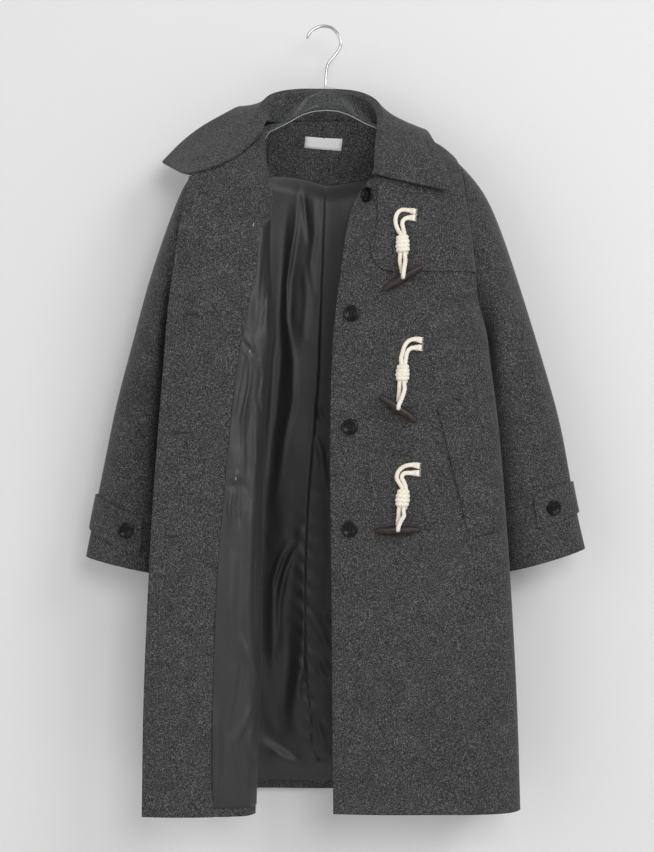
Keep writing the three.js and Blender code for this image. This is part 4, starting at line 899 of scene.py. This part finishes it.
# Four corded buttonholes in the turned facing, each with its round eye at the left, towards the front edge.
facing_front = faces_of("facing_right", "front_right")
EYE = 2.2 * MM
HALF_SLIT = 0.8 * MM
RIM_STEP = 2 * MM
RIM_RADIUS = 0.75 * MM
slits = [(-183, -169, -261), (-202, -182, -438), (-218, -196, -609), (-230, -210, -758)]
for number, (left, right, z) in enumerate(slits, 1):
    left, right, z = left * MM, right * MM, z * MM
    slit = left + 2 * EYE
    rim = [(slit, z + HALF_SLIT)]
    for k in range(11):
        a = math.radians(50 + 26 * k)
        rim.append((left + EYE + EYE * math.cos(a), z + EYE * math.sin(a)))
    rim += [(slit, z - HALF_SLIT), (right, z - HALF_SLIT), (right, z + HALF_SLIT), (slit, z + HALF_SLIT),
            (slit, z), (right, z)]
    around = []
    for (x0, z0), (x1, z1) in zip(rim, rim[1:]):
        steps = max(1, round(math.hypot(x1 - x0, z1 - z0) / RIM_STEP))
        around += [(mix(x0, x1, k / steps), mix(z0, z1, k / steps)) for k in range(steps)]
    moves = turned_move(np.array([(x, -0.1, z) for x, z in around]))
    route = [Vector((x, met(facing_front, x, z).y + moved - 0.25 * MM, z))
             for (x, z), moved in zip(around, moves)]
    threads(f"buttonhole_{number}", [route], RIM_RADIUS, thread_black, "wool")

# Cream tacking stitches in the turned lining, over the ends of the cord loops behind it.
tacked = BVHTree.FromPolygons([v.co for v in turned_lining.data.vertices],
                              [list(p.vertices) for p in turned_lining.data.polygons])
TACK_RADIUS = 0.45 * MM
STITCH = ((0.3, 0.6, 2.6), (0, -0.5, 0.8), (-0.4, -0.4, -1.2), (0.2, 0.6, -2.6))
tacks = []
for x, z in ((-103.5, -308), (-108, -492), (-128, -674)):
    hit = met(tacked, x * MM, z * MM)
    if hit:
        tacks.append([hit + Vector(p) * MM for p in STITCH])
threads("tacking_stitches", tacks, TACK_RADIUS, cotton, "satin")

# The wool facing is wider at the top: it runs on across the fold, and its seam comes back to the edge of the
# solid's lining lower down.
turned_lining.data.materials.append(wool)
for face in turned_lining.data.polygons:
    x, z = face.center.x / MM, face.center.z / MM
    if z > seam_heights[-1] or x < np.interp(z, seam_heights, seam_places):
        face.material_index = 1


# Label
# A blank woven label, sewn to the neck facing along its two short ends.
LABEL_WHITE = rgb("#DADADA")
LABEL_SHADE = rgb("#C9C9C8")
# The wave's bands are ribs of weft 0.75 mm apart, coarser than real ones, so that they show. Their hollows
# are painted darker, as shade, in LABEL_SHADE.
RIB_WAVES = 420.0
taffeta, tree = new_material("woven_label_taffeta")
place = add(tree, "TexCoord").outputs["Object"]
ribs = add(tree, "TexWave", {"Vector": place, "Scale": RIB_WAVES, "Distortion": 0.6},
           bands_direction="Z").outputs["Fac"]
# Painted shade in the rib hollows, white on the rib tops.
colour = add(tree, "ValToRGB", {"Fac": ribs}, stops=[(0.0, LABEL_SHADE), (1.0, LABEL_WHITE)])
rib = add(tree, "Bump", {"Height": ribs, "Strength": 0.3, "Distance": 0.2 * MM})
surface(tree, {"Base Color": colour, "Normal": rib, "Roughness": 0.6, "Specular IOR Level": 0.3})
cloth("label", 1, unmoved, taffeta, "label_cloth", (0.058, 0.0195), 0.0011,
      "back_neck_facing_cloth", bevel=0)


# Toggles
# Turned hardwood toggles, tapered to two flat ends, stained nearly black-brown and waxed. A cross hole takes
# the cord, and the stain has worn thin along the grain.
WOOD_DARK = rgb("#0C0908")
WOOD_WORN = rgb("#483A32")
# The grain follows the turned piece's own length: 1100 lines to the metre across it and 90 along it.
stained, tree = new_material("stained_waxed_hardwood")
lengthwise = add(tree, "Attribute", attribute_name="grain").outputs["Vector"]
drawn = add(tree, "Mapping", {"Vector": lengthwise, "Scale": (90.0, 1100.0, 1100.0)})
streak = add(tree, "TexNoise", {"Vector": drawn, "Scale": 1.0, "Detail": 3.0, "Roughness": 0.65})
colour = add(tree, "ValToRGB", {"Fac": streak}, stops=[(0.38, WOOD_DARK), (0.75, WOOD_WORN)])
pores = add(tree, "Bump", {"Height": streak, "Strength": 0.4, "Distance": 0.5 * MM})
surface(tree, {"Base Color": colour, "Normal": pores, "Roughness": 0.45, "Specular IOR Level": 0.3})
SPIN_STEPS = 40


def spun(name, outline):
    """A mesh turned about X from an outline of (along, radius) points."""
    bm = bmesh.new()
    verts = [bm.verts.new((a, r, 0)) for a, r in outline]
    edges = [bm.edges.new(pair) for pair in zip(verts, verts[1:])]
    bmesh.ops.spin(bm, geom=verts + edges, cent=(0, 0, 0), axis=(1, 0, 0), steps=SPIN_STEPS,
                   angle=2 * math.pi, use_merge=True)
    bmesh.ops.remove_doubles(bm, verts=bm.verts, dist=0.01 * MM)
    bmesh.ops.recalc_face_normals(bm, faces=bm.faces)
    return mesh_of(bm, name)


def drilled(mesh, holes):
    """The mesh with cylinders cut out of it, each given by a matrix, a radius and a depth."""
    body = linked("drilled", mesh)
    bm = bmesh.new()
    for matrix, radius, depth in holes:
        bmesh.ops.create_cone(bm, cap_ends=True, segments=20, radius1=radius, radius2=radius, depth=depth,
                              matrix=matrix)
    drill = linked("drill", mesh_of(bm, "drill"))
    cutting = body.modifiers.new("hole", "BOOLEAN")
    cutting.object = drill
    cutting.operation = "DIFFERENCE"
    done = bpy.data.meshes.new_from_object(body.evaluated_get(bpy.context.evaluated_depsgraph_get()))
    for old in (body, drill):
        bpy.data.objects.remove(old)
    return done


# Half of a toggle's outline, from an end to its middle, as shares of its length and radius.
taper = [(0.5, 0.0), (0.5, 0.5), (0.492, 0.58), (0.46, 0.68), (0.36, 0.8), (0.25, 0.89), (0.12, 0.97),
         (0.0, 1.0)]
taper += [(-a, r) for a, r in reversed(taper[:-1])]
HOLE_RADIUS = 3.2 * MM
DRILL_DEPTH = 30 * MM
across = Matrix.Rotation(math.radians(90), 4, "X")
for number, f in enumerate(fastenings, 1):
    mesh = spun(f"toggle_{number}_wood", [(a * TOGGLE_LENGTH, r * TOGGLE_RADIUS) for a, r in taper])
    mesh = drilled(mesh, [(across, HOLE_RADIUS, DRILL_DEPTH)])
    grain = mesh.attributes.new("grain", "FLOAT_VECTOR", "POINT")
    grain.data.foreach_set("vector", points_of(mesh).ravel() + number)
    x, z = f["toggle"]
    mesh.transform(Matrix.Translation((x * MM, f["toggle_y"], z * MM))
                   @ Matrix.Rotation(math.radians(-f["tilt"]), 4, "Y"))
    toggle = piece(f"wood_toggle_{number}", mesh, stained)
    mesh.set_sharp_from_angle(angle=math.radians(40))
    show(toggle, "dark_wood", f"toggle_{number}")


# Buttons
# Dark horn buttons with four holes in a turned dish, sewn on with black thread. They are polished, and a
# little duller in their brown clouds, which are 4 mm wide.
HORN_BLACK = rgb("#060606")
HORN_BROWN = rgb("#151210")
HAZE_A_METRE = 240.0
horn, tree = new_material("polished_buffalo_horn")
place = add(tree, "TexCoord").outputs["Object"]
haze = add(tree, "TexNoise",
           {"Vector": place, "Scale": HAZE_A_METRE, "Detail": 3.0, "Distortion": 1.2})
colour = add(tree, "ValToRGB", {"Fac": haze}, stops=[(0.45, HORN_BLACK), (0.8, HORN_BROWN)])
rubbed = add(tree, "MapRange", {"Value": haze, "To Min": 0.2, "To Max": 0.36})
surface(tree, {"Base Color": colour, "Roughness": rubbed, "Specular IOR Level": 0.22})
BUTTON_DEPTH = 4.2 * MM
# Half of a button's section, from its back to its dish, as shares of its depth and radius.
dish = [(0.0, 0.0), (0.0, 0.80), (0.12, 0.93), (0.42, 1.0), (0.72, 0.985), (0.93, 0.93), (1.0, 0.84),
        (0.97, 0.74), (0.80, 0.64), (0.66, 0.56), (0.62, 0.4), (0.62, 0.0)]
DISH_FLOOR = 0.62 * BUTTON_DEPTH
EYE_RADIUS = 0.95 * MM
EYE_OFF = 2.1 * MM
EYE_DEPTH = 20 * MM
THREAD_RADIUS = 0.33 * MM
THREAD_SHIFT = 0.35 * MM


def seat_of(node):
    """The place, facing and radius of a round CAD button. It is thinnest along the way that it faces."""
    data = nodes[node].data
    points = points_of(data)
    centre = (points.min(axis=0) + points.max(axis=0)) / 2
    spread = np.linalg.svd(points - points.mean(axis=0), full_matrices=False)[2][2]
    facing = Vector(spread)
    if facing.y > 0:
        facing.negate()
    reach = (points - centre) @ np.array(facing)
    radius = np.linalg.norm(points - centre - reach[:, None] * np.array(facing), axis=1).max()
    return Vector(centre) + facing * reach.min(), facing, radius


upright = Matrix.Rotation(math.radians(90), 4, "Y")
for node in ("button_1", "button_2", "button_3", "button_4", "cuff_button_left", "cuff_button_right"):
    seat, facing, radius = seat_of(node)
    mesh = spun(node + "_horn", [(a * BUTTON_DEPTH, r * radius) for a, r in dish])
    eyes = [Matrix.Translation((0, EYE_OFF * a, EYE_OFF * b)) @ upright for a in (-1, 1) for b in (-1, 1)]
    mesh = drilled(mesh, [(eye, EYE_RADIUS, EYE_DEPTH) for eye in eyes])
    side = facing.cross(Vector((0, 0, 1))).normalized()
    turn = Matrix((facing, side, facing.cross(side))).transposed().to_4x4()
    turn = Matrix.Translation(seat) @ turn
    mesh.transform(turn)
    button = piece(node + "_horn", mesh, horn)
    mesh.set_sharp_from_angle(angle=math.radians(35))
    show(button, "horn", node)
    # Two threads side by side over each pair of holes, and down through them.
    runs = []
    for b in (-1, 1):
        for shift in (-THREAD_SHIFT, THREAD_SHIFT):
            across_at = b * EYE_OFF + shift
            ends = [Vector((DISH_FLOOR - 2.4 * MM, a * EYE_OFF, across_at)) for a in (-1, 1)]
            top = [Vector((DISH_FLOOR + 0.25 * MM, a * EYE_OFF * 0.6, across_at)) for a in (-1, 1)]
            runs.append([turn @ p for p in (ends[0], top[0], top[1], ends[1])])
    threads(node + "_thread", runs, THREAD_RADIUS, thread_black, "horn")


# Hanger
# A moulded clear bar under the shoulders, and a hook of polished steel wire cast into its middle.
FLOW_A_METRE = 60.0
clear_plastic, tree = new_material("clear_moulded_polystyrene")
place = add(tree, "TexCoord").outputs["Object"]
flow = add(tree, "TexNoise", {"Vector": place, "Scale": FLOW_A_METRE, "Detail": 1.0})
swirl = add(tree, "Bump", {"Height": flow, "Strength": 0.1, "Distance": 1 * MM})
surface(tree, {"Base Color": rgb("#4B4E50"), "Normal": swirl, "IOR": 1.49, "Roughness": 0.15, "Alpha": 0.16})
bar = piece("clear_bar", cloth_mesh("hanger_bar", 2), clear_plastic)
bar.data.name = "clear_bar"
round_edges(bar, 0.8 * MM)
show(bar, "clear_plastic", "hanger_bar")

# The bar's lower edge is a moulded bead. It is drawn pale and half clear, as a painted highlight along that
# edge.
BEAD_FLOW_A_METRE = 90.0
bead_painted_highlight, tree = new_material("polystyrene_bead_painted_highlight")
place = add(tree, "TexCoord").outputs["Object"]
flow = add(tree, "TexNoise", {"Vector": place, "Scale": BEAD_FLOW_A_METRE, "Detail": 1.0})
swirl = add(tree, "Bump", {"Height": flow, "Strength": 0.3, "Distance": 1 * MM})
# Near-white: the painted highlight along the bar's lower edge.
surface(tree, {"Base Color": rgb("#DDE0E1"), "Normal": swirl, "Roughness": 0.15, "Alpha": 0.5})
BEAD_RADIUS = 0.55 * MM
BEAD_STEP = 4 * MM
BEAD_REACH = 38
bar_faces = faces_of("hanger_bar")
under = []
for k in range(-BEAD_REACH, BEAD_REACH + 1):
    hit = bar_faces.ray_cast(Vector((k * BEAD_STEP, -2 * MM, -0.4)), Vector((0, 0, 1)))[0]
    if hit:
        under.append(hit + Vector((0, 0, 0.9 * MM)))
threads("bar_bead_painted_highlight", [under], BEAD_RADIUS, bead_painted_highlight, "clear_plastic", fineness=2)

# Steel wire, drawn and polished, with faint wiping marks about 1.4 mm apart. Its tip is rounded off.
WIPES_A_METRE = 700.0
steel, tree = new_material("polished_steel_wire")
place = add(tree, "TexCoord").outputs["Object"]
wiped = add(tree, "TexNoise", {"Vector": place, "Scale": WIPES_A_METRE, "Detail": 2.0})
colour = add(tree, "ValToRGB", {"Fac": wiped}, stops=[(0.3, rgb("#A9AAA8")), (0.7, rgb("#D0D1CE"))])
drawn = add(tree, "Bump", {"Height": wiped, "Strength": 0.08, "Distance": 0.3 * MM})
surface(tree, {"Base Color": colour, "Normal": drawn, "Metallic": 1.0, "Roughness": 0.16})
HOOK_RADIUS = 2.2 * MM
HOOK_FINENESS = 5
hook_route = [(-28, -16), (-21.5, -5.5), (-11.5, 0.8), (-2.5, 2.9), (9.5, 0.4), (19.5, -9.6), (24, -21.4),
              (21.6, -31.2), (14.5, -41.7), (7.5, -50), (3.6, -57.3), (1.4, -71.5), (0.8, -87.3)]
hook_line = line_through([Vector((x * MM, 0, z * MM)) for x, z in hook_route], 2 * MM)
hook_mesh = tube("wire_hook", [hook_line], HOOK_RADIUS, HOOK_FINENESS,
                 girth=lambda k: min(1.0, 0.55 + 0.25 * k))
show(piece("wire_hook", hook_mesh, steel), "hook_steel", "hanger_hook")


# Hidden loops
# Three plain loops of a thinner cord for the toggles. They are sewn by both ends to the outer side of the
# turned front, so they lie out of sight between its layers.
def level(points, x):
    """How far back a loop lies where its cord passes x."""
    close = np.abs(points[:, 0] - x) < 8 * MM
    return (points[close, 1].min() + points[close, 1].max()) / 2


for number in (1, 2, 3):
    points = points_of(nodes[f"loop_{number}"].data)
    low, high = points.min(axis=0), points.max(axis=0)
    cross = (low + high) / 2
    bight, sewn = low[0] + CORD_RADIUS, high[0]
    upper, lower = high[2] - CORD_RADIUS, low[2] + CORD_RADIUS
    half = (upper - lower) / 2
    route = [(sewn, upper), (cross[0], upper), (bight + 2 * half, upper),
             (bight + 0.6 * half, upper - 0.3 * half), (bight, cross[2]),
             (bight + 0.6 * half, lower + 0.3 * half), (bight + 2 * half, lower),
             (cross[0], lower), (sewn, lower)]
    line = line_through([Vector((x, level(points, x), z)) for x, z in route], CORD_STEP)
    loop = piece(f"hidden_loop_{number}", cord_tube(f"hidden_loop_{number}", line, TAIL_RADIUS), cotton)
    show(loop, "cream_cord", f"loop_{number}")


# Stage
# A pale studio wall close behind the coat, a pale floor, and soft light from the upper right.
paper, tree = new_material("matt_white_wall_paint")
paint = add(tree, "BsdfPrincipled", {"Base Color": rgb("#D9D9D9"), "Roughness": 0.95})
# The wall is clear from behind and lets light through, so that a view from there shows the coat.
wall_side = add(tree, "NewGeometry").outputs["Backfacing"]
shadow = add(tree, "LightPath").outputs["Is Shadow Ray"]
seen_through = add(tree, "Math", {0: wall_side, 1: shadow}, operation="MAXIMUM")
clear = add(tree, "BsdfTransparent")
blend = add(tree, "MixShader", {"Fac": seen_through, 1: paint, 2: clear})
add(tree, "OutputMaterial", {"Surface": blend})
WALL_Y = 0.1
FLOOR_Z = -1.6
STAGE = 9


def plane(name, width, depth, where, turn):
    """A flat square of the stage."""
    bm = bmesh.new()
    bmesh.ops.create_grid(bm, x_segments=1, y_segments=1, size=0.5)
    bmesh.ops.transform(bm, matrix=Matrix.Translation(where) @ turn @ Matrix.Diagonal((width, depth, 1, 1)),
                        verts=bm.verts)
    return piece(name, mesh_of(bm, name), paper, smooth=False)


plane("wall", STAGE, STAGE, (0, WALL_Y, 0), Matrix.Rotation(math.radians(90), 4, "X"))
plane("floor", STAGE, STAGE, (0, WALL_Y - STAGE / 2, FLOOR_Z), Matrix.Identity(4))

world = bpy.data.worlds.new("studio")
world.use_nodes = True
background = world.node_tree.nodes["Background"]
background.inputs["Color"].default_value = (1, 1, 1, 1)
background.inputs["Strength"].default_value = 0.5
scene.world = world


def soft_light(name, where, aim, size, power):
    """A square soft box that faces a point."""
    data = bpy.data.lights.new(name, "AREA")
    data.size = size
    data.energy = power
    lamp = linked(name, data)
    lamp.location = where
    lamp.rotation_euler = (Vector(aim) - Vector(where)).to_track_quat("-Z", "Y").to_euler()


COAT_MIDDLE = (0.0, 0.0, -0.6)
soft_light("key_light", (1.9, -2.4, 1.1), (0.0, 0.0, -0.55), 1.3, 34)
soft_light("front_light", (0.55, -3.0, 0.1), COAT_MIDDLE, 0.9, 30)
soft_light("fill_light", (-2.2, -2.8, -0.2), COAT_MIDDLE, 2.2, 24)
soft_light("back_light", (0.6, 2.8, 0.4), COAT_MIDDLE, 2.2, 60)
